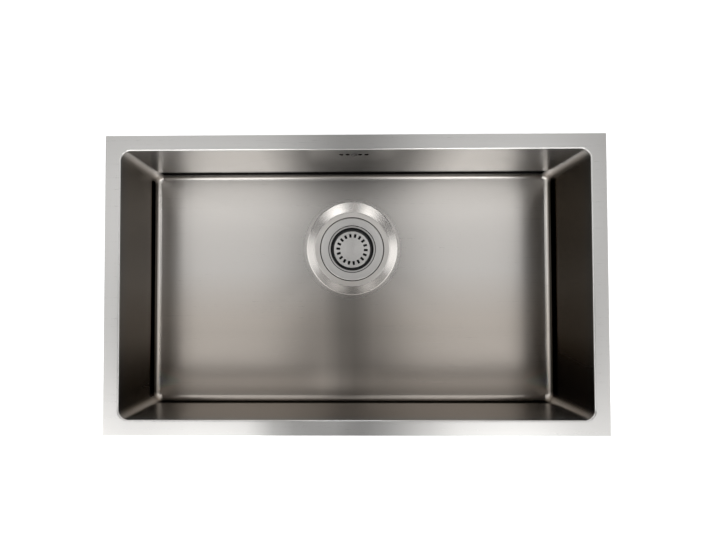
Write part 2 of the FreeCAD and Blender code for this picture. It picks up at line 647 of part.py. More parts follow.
def overflow_hose():
    """Corrugated hose with a plain cuff and a collar at each end."""
    _, run_down, run_forward = hose_route()
    length = run_down + HOSE_BEND_RADIUS * math.pi / 2 + run_forward
    root, crest, cuff = HOSE_ROOT_DIAMETER / 2, HOSE_CREST_DIAMETER / 2, CUFF_DIAMETER / 2
    collar = UNION_THREAD_DIAMETER / 2
    ribbed = length - 2 * CUFF_LENGTH
    ribs = round(ribbed / RIB_PITCH)
    half_crest, half_rib = RIB_CREST / 2, RIB_CREST / 2 + RIB_FLANK
    circles = [hose_circle(CUFF_LENGTH, root)]
    for rib in range(ribs):
        middle = CUFF_LENGTH + (rib + 0.5) * ribbed / ribs
        circles += [
            hose_circle(middle - half_rib, root), hose_circle(middle - half_crest, crest),
            hose_circle(middle + half_crest, crest), hose_circle(middle + half_rib, root),
        ]
    circles.append(hose_circle(length - CUFF_LENGTH, root))
    pieces = []
    for collar_at, cuff_at in ((0, 0), (length - COLLAR_THICKNESS, length - CUFF_LENGTH)):
        collar_start, _ = hose_station(collar_at)
        cuff_start, heading = hose_station(cuff_at)
        pieces.append(Part.makeCylinder(collar, COLLAR_THICKNESS, collar_start, heading))
        pieces.append(Part.makeCylinder(cuff, CUFF_LENGTH, cuff_start, heading))
    start, heading = hose_station(0)
    bore = Part.Wire([Part.makeCircle(HOSE_BORE / 2, start, heading)])
    hollow = hose_path(length).makePipeShell([bore], True, True)
    print("hose length", round(length, 1), "bend radius", HOSE_BEND_RADIUS, "ribs", ribs)
    return Part.makeLoft(circles, True, True).fuse(pieces).cut(hollow)


def hose_path(length):
    """The hose's middle line: a run, a quarter bend and a run."""
    _, run_down, _ = hose_route()
    bend_end = run_down + HOSE_BEND_RADIUS * math.pi / 2
    stops = (0, run_down, (run_down + bend_end) / 2, bend_end, length)
    marks = [hose_station(along)[0] for along in stops]
    return Part.Wire([
        Part.makeLine(marks[0], marks[1]),
        Part.Arc(marks[1], marks[2], marks[3]).toShape(),
        Part.makeLine(marks[3], marks[4]),
    ])


# Sound pads


def wall_pad(length, place, outward):
    """A rubber pad with rounded corners that lies on the outside of a wall."""
    half_length, half_height = length / 2, WALL_PAD_HEIGHT / 2
    outline = [
        (-half_length, -half_height, PAD_CORNER), (half_length, -half_height, PAD_CORNER),
        (half_length, half_height, PAD_CORNER), (-half_length, half_height, PAD_CORNER),
    ]
    pad = rounded_face(outline).extrude(Vector(0, PAD_THICKNESS, 0))
    pad.Placement = Placement(place, Rotation(REARWARD, outward))
    return pad


def floor_pad(side, outside, outside_of_pad):
    """A rubber pad under the floor that follows the cross-breaks."""
    half_length, half_width = FLOOR_PAD_LENGTH / 2, FLOOR_PAD_WIDTH / 2
    middle = side * (HALF_LENGTH - FLOOR_PAD_SETBACK - half_length)
    outline = [
        (-half_length, -half_width, PAD_CORNER), (half_length, -half_width, PAD_CORNER),
        (half_length, half_width, PAD_CORNER), (-half_length, half_width, PAD_CORNER),
    ]
    depth = SHEET + FLOOR_FALL + PAD_THICKNESS + CUT_MARGIN
    block = rounded_face(outline).extrude(Vector(0, -depth, 0))
    block.rotate(Vector(), Vector(1, 0, 0), -90)
    block.translate(Vector(middle, 0, -BOWL_DEPTH - depth))
    return block.common(outside_of_pad).cut(outside).removeSplitter()


def all_parts():
    outside = bowl_form(SHEET, -SHEET)
    inside = bowl_form(0, CUT_MARGIN)
    outside_of_pad = bowl_form(SHEET + PAD_THICKNESS, -SHEET)
    pad_z = -WALL_PAD_MIDDLE
    rear_middle = HALF_LENGTH - REAR_PAD_SETBACK - REAR_PAD_LENGTH / 2
    wall_side = HALF_LENGTH + SHEET
    left, right, front = Vector(-1, 0, 0), Vector(1, 0, 0), Vector(0, -1, 0)
    return {
        "sink_bowl": sink_bowl(outside, inside),
        "floor_pad_left": floor_pad(-1, outside, outside_of_pad),
        "floor_pad_right": floor_pad(1, outside, outside_of_pad),
        "wall_pad_left": wall_pad(SIDE_PAD_LENGTH, Vector(-wall_side, 0, pad_z), left),
        "wall_pad_right": wall_pad(SIDE_PAD_LENGTH, Vector(wall_side, 0, pad_z), right),
        "wall_pad_front": wall_pad(FRONT_PAD_LENGTH, Vector(0, -WALL_BACK, pad_z), front),
        "wall_pad_rear_left": wall_pad(REAR_PAD_LENGTH, Vector(-rear_middle, WALL_BACK, pad_z), REARWARD),
        "wall_pad_rear_right": wall_pad(REAR_PAD_LENGTH, Vector(rear_middle, WALL_BACK, pad_z), REARWARD),
        "strainer_dish": strainer_dish(),
        "dish_seal": dish_seal(),
        "waste_seal": waste_seal(),
        "waste_body": waste_body(),
        "clamp_screw": clamp_screw(),
        "clamp_insert": clamp_insert(),
        "basket_cap": basket_cap(),
        "basket_ring": basket_ring(),
        "basket_stem": basket_stem(),
        "stem_ring": stem_ring(),
        "basket_stopper": basket_stopper(),
        "overflow_housing": overflow_housing(),
        "overflow_seal": overflow_seal(),
        "overflow_screw": overflow_screw(),
        "overflow_insert": overflow_insert(),
        "overflow_hose": overflow_hose(),
        "hose_washer_upper": union_washer(UPPER_UNION, DOWN),
        "hose_washer_lower": union_washer(LOWER_UNION, REARWARD),
        "hose_nut_upper": union_nut(UPPER_UNION, DOWN),
        "hose_nut_lower": union_nut(LOWER_UNION, REARWARD),
    }


os.makedirs("parts", exist_ok=True)
for node, solid in all_parts().items():
    print(node, "solids", len(solid.Solids), "valid", solid.isValid(), "volume", round(solid.Volume, 1))
    solid.exportStep(f"parts/{node}.step")
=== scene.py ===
import json
import math

import bmesh
import bpy
from mathutils import Matrix, Vector


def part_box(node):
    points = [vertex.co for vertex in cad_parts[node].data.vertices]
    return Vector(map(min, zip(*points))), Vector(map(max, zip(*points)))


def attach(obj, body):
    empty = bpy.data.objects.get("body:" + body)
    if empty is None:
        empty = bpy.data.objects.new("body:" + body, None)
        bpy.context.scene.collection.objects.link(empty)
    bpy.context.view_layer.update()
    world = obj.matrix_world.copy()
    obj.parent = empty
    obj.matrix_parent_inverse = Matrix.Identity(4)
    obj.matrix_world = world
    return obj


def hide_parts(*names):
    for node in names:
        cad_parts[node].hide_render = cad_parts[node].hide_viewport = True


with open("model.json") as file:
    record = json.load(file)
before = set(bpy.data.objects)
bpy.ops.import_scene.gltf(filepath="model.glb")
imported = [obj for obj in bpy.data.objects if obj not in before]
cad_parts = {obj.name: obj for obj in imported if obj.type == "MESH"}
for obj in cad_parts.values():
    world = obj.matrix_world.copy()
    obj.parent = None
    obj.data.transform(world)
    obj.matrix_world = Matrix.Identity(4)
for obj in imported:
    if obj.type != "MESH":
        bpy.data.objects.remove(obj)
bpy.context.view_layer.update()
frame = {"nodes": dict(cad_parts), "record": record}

# All sizes are in metres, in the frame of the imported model: the origin is the middle of the
# bowl's opening on the top of the flange, +X to the right, +Y to the rear wall, +Z up.
MM = 0.001

# Bowl
HALF_LENGTH, HALF_WIDTH = 350 * MM, 200 * MM
DEPTH = 200 * MM
SHEET = 1.2 * MM
FLANGE = 23 * MM
CORNER = 14 * MM
FLOOR_BEND = 10 * MM
LIP_BEND = 2.5 * MM
FLOOR_FALL = 3 * MM
LEVEL_INSET = 14 * MM  # from the wall to the start of the cross-breaks
CREASE_SOFTNESS = 0.01

# Drain recess
DRAIN = Vector((0, 68 * MM, 0))
RECESS_Z = -207 * MM
RECESS_FLAT = 66 * MM
RECESS_SLOPE = 3.02  # outwards per height
RECESS_BEND, MOUTH_BEND = 5 * MM, 9 * MM
RECESS_MOUTH = 85 * MM  # the polished sheet ends here
WASTE_HOLE = 45 * MM
GUSSETS, SPIDER_ARMS = 8, 3

# Overflow holes
OVERFLOW_Z = -33 * MM
OVERFLOW_PITCH = 9.7 * MM
OVERFLOW_HOLE = 3.25 * MM
SCREW_HOLE = 2.6 * MM
OVERFLOW_TALL = 1.8  # height of the openings against their width

# Waste
DISH_SHEET = 1 * MM
CAP_SHEET = 0.8 * MM
OUTLET_END = -291.2 * MM
LOWER_UNION = Vector((0, 132 * MM, -240.2 * MM))

# Overflow hose
UPPER_UNION = Vector((0, 216.4 * MM, -61 * MM))

BODY, BASKET = "sink", "basket"
TURN = 2 * math.pi


def eased(value):
    """0 up to 0 and 1 from 1 on, with a smooth rise between."""
    share = min(max(value, 0), 1)
    return share * share * (3 - 2 * share)


# Meshes


def mesh_of(name, verts, faces):
    mesh = bpy.data.meshes.new(name)
    mesh.from_pydata([tuple(v) for v in verts], [], faces)
    work = bmesh.new()
    work.from_mesh(mesh)
    bmesh.ops.recalc_face_normals(work, faces=work.faces)
    work.to_mesh(mesh)
    work.free()
    return mesh


def dress(name, mesh, material, body, replaced, sharp=40):
    """Places a mesh as a piece that rides on a body, smooth apart from edges over sharp degrees."""
    piece = bpy.data.objects.new(name, mesh)
    bpy.context.scene.collection.objects.link(piece)
    mesh.polygons.foreach_set("use_smooth", [True] * len(mesh.polygons))
    mesh.set_sharp_from_angle(angle=math.radians(sharp))
    mesh.materials.append(material)
    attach(piece, body)
    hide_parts(replaced)


def tube_of_rows(rows, close_rows=True):
    """Faces between rows of points that each run once round, and from the last row to the first."""
    count = len(rows[0])
    verts = [point for row in rows for point in row]
    faces = []
    for index in range(len(rows) if close_rows else len(rows) - 1):
        start, following = index * count, (index + 1) % len(rows) * count
        for column in range(count):
            beside = (column + 1) % count
            faces.append((start + column, start + beside, following + beside, following + column))
    return verts, faces


def capped_tube(name, rows):
    """A closed mesh of rows of points, with a face over the first and the last."""
    verts, faces = tube_of_rows(rows, close_rows=False)
    count = len(rows[0])
    faces.append(tuple(range(count)))
    faces.append(tuple(range(len(verts) - 1, len(verts) - count - 1, -1)))
    return mesh_of(name, verts, faces)


def circle(middle, side, other, radius, count):
    """Points round a middle, in the plane of two directions."""
    points = []
    for index in range(count):
        angle = TURN * index / count
        points.append(middle + (side * math.cos(angle) + other * math.sin(angle)) * radius)
    return points


def rounded(corners, steps=6):
    """A line through corners (across, up, radius) with each corner rounded by an arc."""
    line = []
    for index, (x, z, radius) in enumerate(corners):
        here = Vector((x, z))
        if radius == 0 or index in (0, len(corners) - 1):
            line.append(here)
            continue
        back = (Vector(corners[index - 1][:2]) - here).normalized()
        ahead = (Vector(corners[index + 1][:2]) - here).normalized()
        half = back.angle(ahead) / 2
        if half > math.radians(89.9):
            line.append(here)
            continue
        centre = here + (back + ahead).normalized() * (radius / math.sin(half))
        first = here + back * (radius / math.tan(half)) - centre
        last = here + ahead * (radius / math.tan(half)) - centre
        sweep = first.angle_signed(last)
        for step in range(steps + 1):
            spin = Matrix.Rotation(-sweep * step / steps, 2)
            line.append(centre + spin @ first)
    return line


def offset_line(line, distance):
    """The line moved to its left by a distance."""
    moved = []
    for index, point in enumerate(line):
        before = line[index] - line[index - 1] if index else line[1] - line[0]
        after = line[index + 1] - point if index < len(line) - 1 else before
        along = before.normalized() + after.normalized()
        along = along.normalized() if along.length else before.normalized()
        lean = max(along.dot(after.normalized()), 0.3)
        moved.append(point + Vector((-along.y, along.x)) * distance / lean)
    return moved


def turned_mesh(name, line, segments=96, close=True, axis_at=DRAIN):
    """A mesh turned about an upright axis, capped where its line starts or ends on the axis."""
    work = bmesh.new()
    rings = []
    for point in line:
        if point.x < 1e-7:
            rings.append([work.verts.new(axis_at + Vector((0, 0, point.y)))])
            continue
        ring = []
        for index in range(segments):
            angle = TURN * index / segments
            place = Vector((point.x * math.cos(angle), point.x * math.sin(angle), point.y))
            ring.append(work.verts.new(axis_at + place))
        rings.append(ring)
    pairs = list(zip(rings, rings[1:]))
    if close:
        pairs.append((rings[-1], rings[0]))
    for lower, upper in pairs:
        if len(lower) == 1 and len(upper) == 1:
            continue
        for index in range(segments):
            beside = (index + 1) % segments
            if len(lower) == 1:
                work.faces.new((lower[0], upper[index], upper[beside]))
            elif len(upper) == 1:
                work.faces.new((lower[index], lower[beside], upper[0]))
            else:
                work.faces.new((lower[index], lower[beside], upper[beside], upper[index]))
    bmesh.ops.recalc_face_normals(work, faces=work.faces)
    mesh = bpy.data.meshes.new(name)
    work.to_mesh(mesh)
    work.free()
    return mesh


def turned_sheet(name, corners, thickness, segments=128):
    """A pressed sheet of revolution whose upper line follows the corners."""
    top = rounded(corners)
    bottom = offset_line(top, thickness)
    if top[-1].x < 1e-7:
        bottom[-1].x = 0
    return turned_mesh(name, top + bottom[::-1], segments)


def box_mesh(size, place, turn):
    """A block at a place from the drain's axis, turned about that axis."""
    work = bmesh.new()
    bmesh.ops.create_cube(work, size=1)
    bmesh.ops.scale(work, vec=size, verts=work.verts)
    bmesh.ops.translate(work, vec=place, verts=work.verts)
    bmesh.ops.rotate(work, cent=(0, 0, 0), matrix=Matrix.Rotation(turn, 3, "Z"), verts=work.verts)
    bmesh.ops.translate(work, vec=DRAIN, verts=work.verts)
    mesh = bpy.data.meshes.new("block")
    work.to_mesh(mesh)
    work.free()
    return mesh


def rod_mesh(radius, start, end, segments):
    work = bmesh.new()
    along = end - start
    bmesh.ops.create_cone(
        work, cap_ends=True, segments=segments, radius1=radius, radius2=radius, depth=along.length,
    )
    spin = along.to_track_quat("Z", "Y").to_matrix()
    bmesh.ops.rotate(work, cent=(0, 0, 0), matrix=spin, verts=work.verts)
    bmesh.ops.translate(work, vec=(start + end) / 2, verts=work.verts)
    mesh = bpy.data.meshes.new("rod")
    work.to_mesh(mesh)
    work.free()
    return mesh


def joined(meshes):
    """Several meshes in one, each with its own points."""
    work = bmesh.new()
    for mesh in meshes:
        work.from_mesh(mesh)
    mesh = bpy.data.meshes.new("tools")
    work.to_mesh(mesh)
    work.free()
    return mesh


def combine(mesh, tools, operation):
    """The exact union or difference of a mesh and tool meshes."""
    base = bpy.data.objects.new("base", mesh)
    tool = bpy.data.objects.new("tool", joined(tools))
    for item in (base, tool):
        bpy.context.scene.collection.objects.link(item)
    step = base.modifiers.new("step", "BOOLEAN")
    step.operation, step.solver, step.object = operation, "EXACT", tool
    step.use_self = operation == "UNION"
    depsgraph = bpy.context.evaluated_depsgraph_get()
    result = bpy.data.meshes.new_from_object(base.evaluated_get(depsgraph))
    for item in (base, tool):
        bpy.data.objects.remove(item)
    return result


# Materials


def material(name, metallic, roughness, color, anisotropic=0.0):
    made = bpy.data.materials.new(name)
    made.use_nodes = True
    shader = made.node_tree.nodes["Principled BSDF"]
    shader.inputs["Metallic"].default_value = metallic
    shader.inputs["Roughness"].default_value = roughness
    shader.inputs["Base Color"].default_value = (*color, 1)
    shader.inputs["Anisotropic"].default_value = anisotropic
    return made, made.node_tree, shader


def node(tree, kind, inputs=(), **settings):
    """A node with settings, and inputs given as (name or number, socket or value)."""
    made = tree.nodes.new(kind)
    for key, value in settings.items():
        if key in made.inputs:
            made.inputs[key].default_value = value
        else:
            setattr(made, key, value)
    for key, value in inputs:
        if isinstance(value, bpy.types.NodeSocket):
            tree.links.new(value, made.inputs[key])
        else:
            made.inputs[key].default_value = value
    return made


LEVEL = (1, 1, 0)
STREAK_RANGE = 0.6, 1.4  # of fine and broad streaks added up


# The functions below add their nodes to the tree of the socket that they start from


def span(source, low, high, from_low=0.0, from_high=1.0):
    """Runs from low to high while the source runs between its own two ends."""
    ends = ("From Min", from_low), ("From Max", from_high), ("To Min", low), ("To Max", high)
    made = node(source.id_data, "ShaderNodeMapRange", [("Value", source), *ends])
    return made.outputs["Result"]


def rise(source, start, full):
    """0 at the start and 1 where full, which may also be lower than the start."""
    return span(source, 0, 1, start, full)


def maths(operation, first, second=0.0):
    values = [(0, first), (1, second)]
    return node(first.id_data, "ShaderNodeMath", values, operation=operation).outputs[0]


def product(first, *others):
    for other in others:
        first = maths("MULTIPLY", first, other)
    return first


def absolute(source, middle=0.0):
    """Distance of a value from the middle."""
    return maths("ABSOLUTE", maths("SUBTRACT", source, middle))


def vectors(operation, first, second=(0, 0, 0)):
    values = [(0, first), (1, second)]
    made = node(first.id_data, "ShaderNodeVectorMath", values, operation=operation)
    return made.outputs["Value" if operation in ("LENGTH", "DOT_PRODUCT") else "Vector"]


def between(amount, first, second):
    """The first value where the amount is 0 and the second where it is 1."""
    values = [(0, amount), (2, first), (3, second)]
    return node(amount.id_data, "ShaderNodeMix", values).outputs[0]


def blend_colors(amount, first, second):
    values = [(0, amount), (6, (*first, 1)), (7, (*second, 1))]
    return node(amount.id_data, "ShaderNodeMix", values, data_type="RGBA").outputs[2]


def curve(source, points):
    """A value that runs straight between points (source, value) and stays level beyond them."""
    low, high = points[0][0], points[-1][0]
    most = max(value for _, value in points)
    ramp = node(source.id_data, "ShaderNodeValToRGB", [("Fac", rise(source, low, high))])
    stops = ramp.color_ramp.elements
    while len(stops) < len(points):
        stops.new(0.5)
    for stop, (at, value) in zip(stops, points):
        stop.position = (at - low) / (high - low)
        stop.color = (value / most, value / most, value / most, 1)
    return product(ramp.outputs[0], most)


def parts_of(source):
    return node(source.id_data, "ShaderNodeSeparateXYZ", [(0, source)]).outputs


def object_place(tree):
    return node(tree, "ShaderNodeTexCoord").outputs["Object"]


def from_drain(tree):
    """Distance from the drain's axis, and the height."""
    away = vectors("SUBTRACT", object_place(tree), DRAIN)
    return vectors("LENGTH", vectors("MULTIPLY", away, LEVEL)), parts_of(away)["Z"]


def streaks(source, stretch):
    """Fine and broad streaks along the grain added up, and the fine ones alone."""
    noises = []
    for share, detail in ((1, 3.0), (0.07, 2.0)):
        scale = [value * share for value in stretch]
        scaled = node(source.id_data, "ShaderNodeMapping", [("Vector", source)], Scale=scale)
        vector = [("Vector", scaled.outputs[0])]
        noise = node(source.id_data, "ShaderNodeTexNoise", vector, Scale=1.0, Detail=detail)
        noises.append(noise.outputs["Fac"])
    return maths("ADD", *noises), noises[0]


def surface(shader, color, roughness, height, strength, distance=0.0001):
    """Gives the shader a colour, a roughness and a bump of a height."""
    tree = shader.id_data
    bump = node(tree, "ShaderNodeBump", [("Height", height)], Strength=strength, Distance=distance)
    for key, source in (
        ("Base Color", color), ("Roughness", roughness), ("Normal", bump.outputs[0]),
    ):
        tree.links.new(source, shader.inputs[key])


def turned_steel(name, color, roughness, anisotropic, tones=None):
    """Steel or brass turned about the drain's axis; tones gives painted shade as its brightness by
    the radius.
    """
    made, tree, shader = material(name, 1.0, roughness, color, anisotropic)
    radius, height = from_drain(tree)
    source = node(tree, "ShaderNodeCombineXYZ", [("X", radius), ("Z", height)]).outputs[0]
    tangent = node(tree, "ShaderNodeTangent", direction_type="RADIAL", axis="Z")
    tree.links.new(tangent.outputs[0], shader.inputs["Tangent"])
    shader.inputs["Anisotropic Rotation"].default_value = 0.25
    both, fine = streaks(source, (5000, 1, 5000))
    gloss = span(both, roughness * 0.9, roughness * 1.1, *STREAK_RANGE)
    tone = span(both, 0.96, 1.04, *STREAK_RANGE)
    if tones:
        tone = product(tone, curve(radius, tones))
    surface(shader, vectors("MULTIPLY", tone, color), gloss, fine, 0.04)
    return made


STEEL = (0.61, 0.60, 0.585)
# Painted reflection: a warm cast on the walls and the front of the floor
WARM_REFLECTION = (0.66, 0.60, 0.54)  # as the walls and the front of the floor look
# Painted reflection and shade, as brightness of the sheet against plain steel: by Y on the side
# walls, by Z above the floor's bend, by the distance from the middle on the rear wall and the
# floor, by the distance from the drain
# Painted shade: the side walls darker than plain steel, darkest towards the front
SIDE_WALL_TONES = (
    (-0.194, 0.19), (-0.167, 0.16), (-0.131, 0.21), (-0.08, 0.34), (0.0, 0.39), (0.07, 0.35),
    (0.2, 0.31),
)
# Painted light: the left wall lighter and the right wall darker
SIDE_WALL_BALANCE = 1.19, 0.7  # left and right
OUTSIDE_TONE = 0.6
# Painted reflection: the rear wall dark in its middle and lighter towards its ends
REAR_WALL_TONES = ((0, 0.45), (0.07, 0.6), (0.16, 1.2), (0.3, 1.2), (0.34, 1))
# Painted shade: the front wall darker than plain steel
FRONT_WALL_TONE = 0.62
# Painted shade: a dark band on the walls just above the floor's bend, lighter again further up
FOOT_SHADE_TONES = (
    (-0.1995, 1), (-0.196, 0.5), (-0.19, 0.1), (-0.174, 0.1), (-0.164, 0.8), (-0.158, 1),
)
# Painted highlight: the top of the lip lighter than plain steel
LIP_HIGHLIGHT = 1.5
# Painted reflection and shade on the floor: lighter near the side walls and behind the front bend,
# a little darker in its front half
FLOOR_TONES = ((0.29, 1), (0.31, 1.15), (0.335, 1.3), (0.341, 1.35))
FLOOR_DEPTH_TONES = (
    (-0.192, 0.9), (-0.185, 1), (-0.172, 1.35), (-0.165, 1.4), (-0.14, 1.05), (-0.08, 0.88),
    (0.0, 0.97), (0.03, 1),
)
# Painted shade: a darker strip down the front of the floor, in line with the drain
DRAIN_SHADE_TONE = 0.7
DRAIN_SHADE_WIDTH = ((0, 1), (0.012, 1), (0.045, 0))  # of the painted shade strip in front of the drain
# Painted reflection: the front flange lighter and darker along its length
FRONT_FLANGE_TONES = (
    (-0.16, 1), (-0.12, 0.75), (-0.09, 0.85), (-0.06, 1.2), (-0.03, 1.4), (0.03, 1.35),
    (0.055, 1.1), (0.08, 0.95), (0.11, 0.9), (0.15, 1),
)
# Painted shadow: a dark ring round the dish's edge; painted highlight: the recess's floor and slope
# lighter
RECESS_TONES = (
    (0.0555, 1.15), (0.056, 0.02), (0.0572, 0.02), (0.0578, 1.15), (0.066, 1.15), (0.07, 1.35),
    (0.081, 1.35), (0.088, 1),
)
RECESS_GLOSS = ((0.064, 0.36), (0.068, 0.22), (0.082, 0.22), (0.089, 0.28))
# Painted shade: the sides of the overflow holes nearly black
HOLE_EDGE_SHADE = 0.02
HOLE_EDGE_DEPTH = ((0.20005, 0), (0.2002, 1), (0.201, 1), (0.20115, 0))  # by Y in the rear wall

# Where the parts of the sheet start and where they are full, by the share of the surface's
# direction that points along an axis, or by place
WALL_FACING, REAR_FACING = (0.55, 0.95), (-0.55, -0.95)
FLOOR_FACING, FLOOR_TOP = (0.75, 0.92), (-0.18, -0.19)
LIP_FACING, LIP_TOP = (0.99, 0.9), (-0.0026, -0.0022)
DOWNWARD, OUTWARD, INWARD = (-0.4, -0.6), (0.01, 0.03), (-0.01, -0.03)
CORNER_X, CORNER_Y = (0.334, 0.342), (0.184, 0.192)
FRONT_FLANGE, FLANGE_TOP = (-0.199, -0.2), (-0.0012, -0.0008)
HOLES_X, HOLES_TOP, HOLES_FOOT = (0.03, 0.026), (-0.01, -0.015), (-0.06, -0.055)
DRAIN_SHADE_REAR = 0.02, -0.02


def brushed_sheet(name, anisotropic, relief):
    """The bowl's steel, brushed along the bowl and up and down the side walls, with painted
    reflection and shade.
    """
    made, tree, shader = material(name, 1.0, 0.28, STEEL, anisotropic)
    tangent = node(tree, "ShaderNodeTangent", direction_type="UV_MAP", uv_map="grain")
    tree.links.new(tangent.outputs[0], shader.inputs["Tangent"])
    grain = node(tree, "ShaderNodeUVMap", uv_map="grain").outputs[0]
    both, fine = streaks(grain, (9000, 60, 1))
    place = object_place(tree)
    normal = node(tree, "ShaderNodeNewGeometry").outputs["True Normal"]
    at, facing = parts_of(place), parts_of(normal)
    off_middle = absolute(at["X"])
    radius, _ = from_drain(tree)

    # Each of these is 1 on its part of the sheet and 0 elsewhere
    outward = vectors("DOT_PRODUCT", vectors("MULTIPLY", place, LEVEL), normal)
    inside = rise(outward, *INWARD)
    outside = maths("MAXIMUM", rise(outward, *OUTWARD), rise(facing["Z"], *DOWNWARD))
    side = product(rise(absolute(facing["X"]), *WALL_FACING), inside)
    rear = product(rise(facing["Y"], *REAR_FACING), inside)
    front = product(rise(facing["Y"], *WALL_FACING), inside)
    corner = product(rise(off_middle, *CORNER_X), rise(absolute(at["Y"]), *CORNER_Y))
    lip = product(rise(at["Z"], *LIP_TOP), rise(facing["Z"], *LIP_FACING), inside)
    floor = product(rise(facing["Z"], *FLOOR_FACING), rise(at["Z"], *FLOOR_TOP))
    front_flange = product(rise(at["Y"], *FRONT_FLANGE), rise(at["Z"], *FLANGE_TOP))
    # Painted shade strip on the floor in front of the drain
    drain_shade_width = curve(absolute(at["X"], -0.008), DRAIN_SHADE_WIDTH)
    drain_shade = product(drain_shade_width, floor, rise(at["Y"], *DRAIN_SHADE_REAR))
    # Painted shade on the sides of the overflow holes
    hole_edges = product(
        rise(at["Z"], *HOLES_FOOT), rise(at["Z"], *HOLES_TOP), rise(off_middle, *HOLES_X),
        curve(at["Y"], HOLE_EDGE_DEPTH),
    )

    balance = span(at["X"], *SIDE_WALL_BALANCE, -HALF_LENGTH, HALF_LENGTH)
    # Fine grain variation, times the painted shadow and highlight round the drain's recess
    tone = product(span(both, 0.992, 1.008, *STREAK_RANGE), curve(radius, RECESS_TONES))
    # Painted reflection and shade on the walls, lip, floor, front flange, drain strip and hole
    # sides, and a darker outside
    for part, value in (
        (side, product(curve(at["Y"], SIDE_WALL_TONES), balance)),
        (rear, curve(absolute(at["X"], 0.015), REAR_WALL_TONES)),
        (front, FRONT_WALL_TONE),
        (inside, between(corner, curve(at["Z"], FOOT_SHADE_TONES), 1.0)),
        (outside, OUTSIDE_TONE),
        (lip, LIP_HIGHLIGHT),
        (floor, product(curve(off_middle, FLOOR_TONES), curve(at["Y"], FLOOR_DEPTH_TONES))),
        (front_flange, curve(at["X"], FRONT_FLANGE_TONES)),
        (drain_shade, DRAIN_SHADE_TONE),
        (hole_edges, HOLE_EDGE_SHADE),
    ):
        tone = product(tone, between(part, 1.0, value))
    # The tone, painted light and shade included, also tints the sheet's edge reflections
    edge_tint = node(tree, "ShaderNodeClamp", [("Value", tone)])
    tree.links.new(edge_tint.outputs[0], shader.inputs["Specular Tint"])

    # Painted warm reflection on the walls and the front of the floor, plain on the flange and
    # outside
    warm_reflection = between(floor, between(rear, 1.0, 0.1), span(at["Y"], 1, 0.3, -0.06, 0.03))
    warm_reflection = product(warm_reflection, between(outside, rise(at["Z"], 0, -0.04), 0.0))
    color = vectors("MULTIPLY", tone, blend_colors(warm_reflection, STEEL, WARM_REFLECTION))
    gloss = product(span(both, 0.97, 1.03, *STREAK_RANGE), curve(radius, RECESS_GLOSS))
    surface(shader, color, gloss, fine, relief)
    return made


def moulded(name, color, roughness, speckle=0.03, scale=900.0, bump=0.15):
    """Rubber or plastic with a fine matt surface and slight unevenness of tone."""
    made, tree, shader = material(name, 0.0, roughness, color)
    place = [("Vector", object_place(tree))]
    fine = node(tree, "ShaderNodeTexNoise", place, Scale=scale, Detail=4.0).outputs["Fac"]
    wide = node(tree, "ShaderNodeTexNoise", place, Scale=18.0, Detail=3.0).outputs["Fac"]
    darker = [value * (1 - 2 * speckle) for value in color]
    lighter = [value * (1 + speckle) + speckle * 0.02 for value in color]
    tone = blend_colors(rise(wide, 0.35, 0.65), darker, lighter)
    gloss = span(fine, roughness - 0.06, roughness + 0.06, 0.3, 0.7)
    surface(shader, tone, gloss, fine, bump, 0.0002)
    return made


bowl_steel = brushed_sheet("brushed_sheet", 0.8, 0.012)
recess_steel = brushed_sheet("polished_recess", 0.0, 0.002)
# Painted shade on the strainer dish: the throat's wall and the step's wall nearly black, the step's
# tread a little darker
DISH_SHADE_TONES = (
    (0.0365, 1), (0.0369, 0.03), (0.0382, 0.03), (0.0387, 0.8), (0.0409, 0.8), (0.0413, 0.06),
    (0.0422, 0.06), (0.0427, 1),
)
dish_steel = turned_steel("turned_sheet", (0.66, 0.645, 0.625), 0.36, 0.3, DISH_SHADE_TONES)
screw_steel = turned_steel("turned_bar", (0.5, 0.49, 0.48), 0.35, 0.4)
# Painted shade: the overflow screw's steel far darker than steel, so its highlight stays dim
screw_shade_steel = turned_steel("screw_painted_shade", (0.16, 0.155, 0.15), 0.5, 0.0)
brass = turned_steel("turned_brass", (0.72, 0.55, 0.28), 0.3, 0.4)
seal_rubber = moulded("black_rubber", (0.018, 0.018, 0.018), 0.55)
pad_rubber = moulded("grey_rubber", (0.075, 0.075, 0.08), 0.8, 0.05, scale=1400.0, bump=0.4)
waste_plastic = moulded("white_plastic", (0.80, 0.80, 0.78), 0.42, scale=1600.0, bump=0.08)
hose_plastic = moulded("grey_plastic", (0.60, 0.61, 0.61), 0.38, scale=1200.0, bump=0.08)
nut_plastic = moulded("black_plastic", (0.045, 0.045, 0.05), 0.45, scale=1500.0, bump=0.15)
SLOT_MATERIALS = {
    "bowl_steel": screw_steel, "waste_steel": dish_steel,
    "screw_steel": screw_steel, "brass": brass,
    "seal_rubber": seal_rubber, "pad_rubber": pad_rubber, "waste_plastic": waste_plastic,
    "hose_plastic": hose_plastic, "nut_plastic": nut_plastic,
}


# Bowl

SIDES = ((0, -1), (1, 0), (0, 1), (-1, 0))
ARC_STEPS = 10
RAY_STEP = math.radians(2)


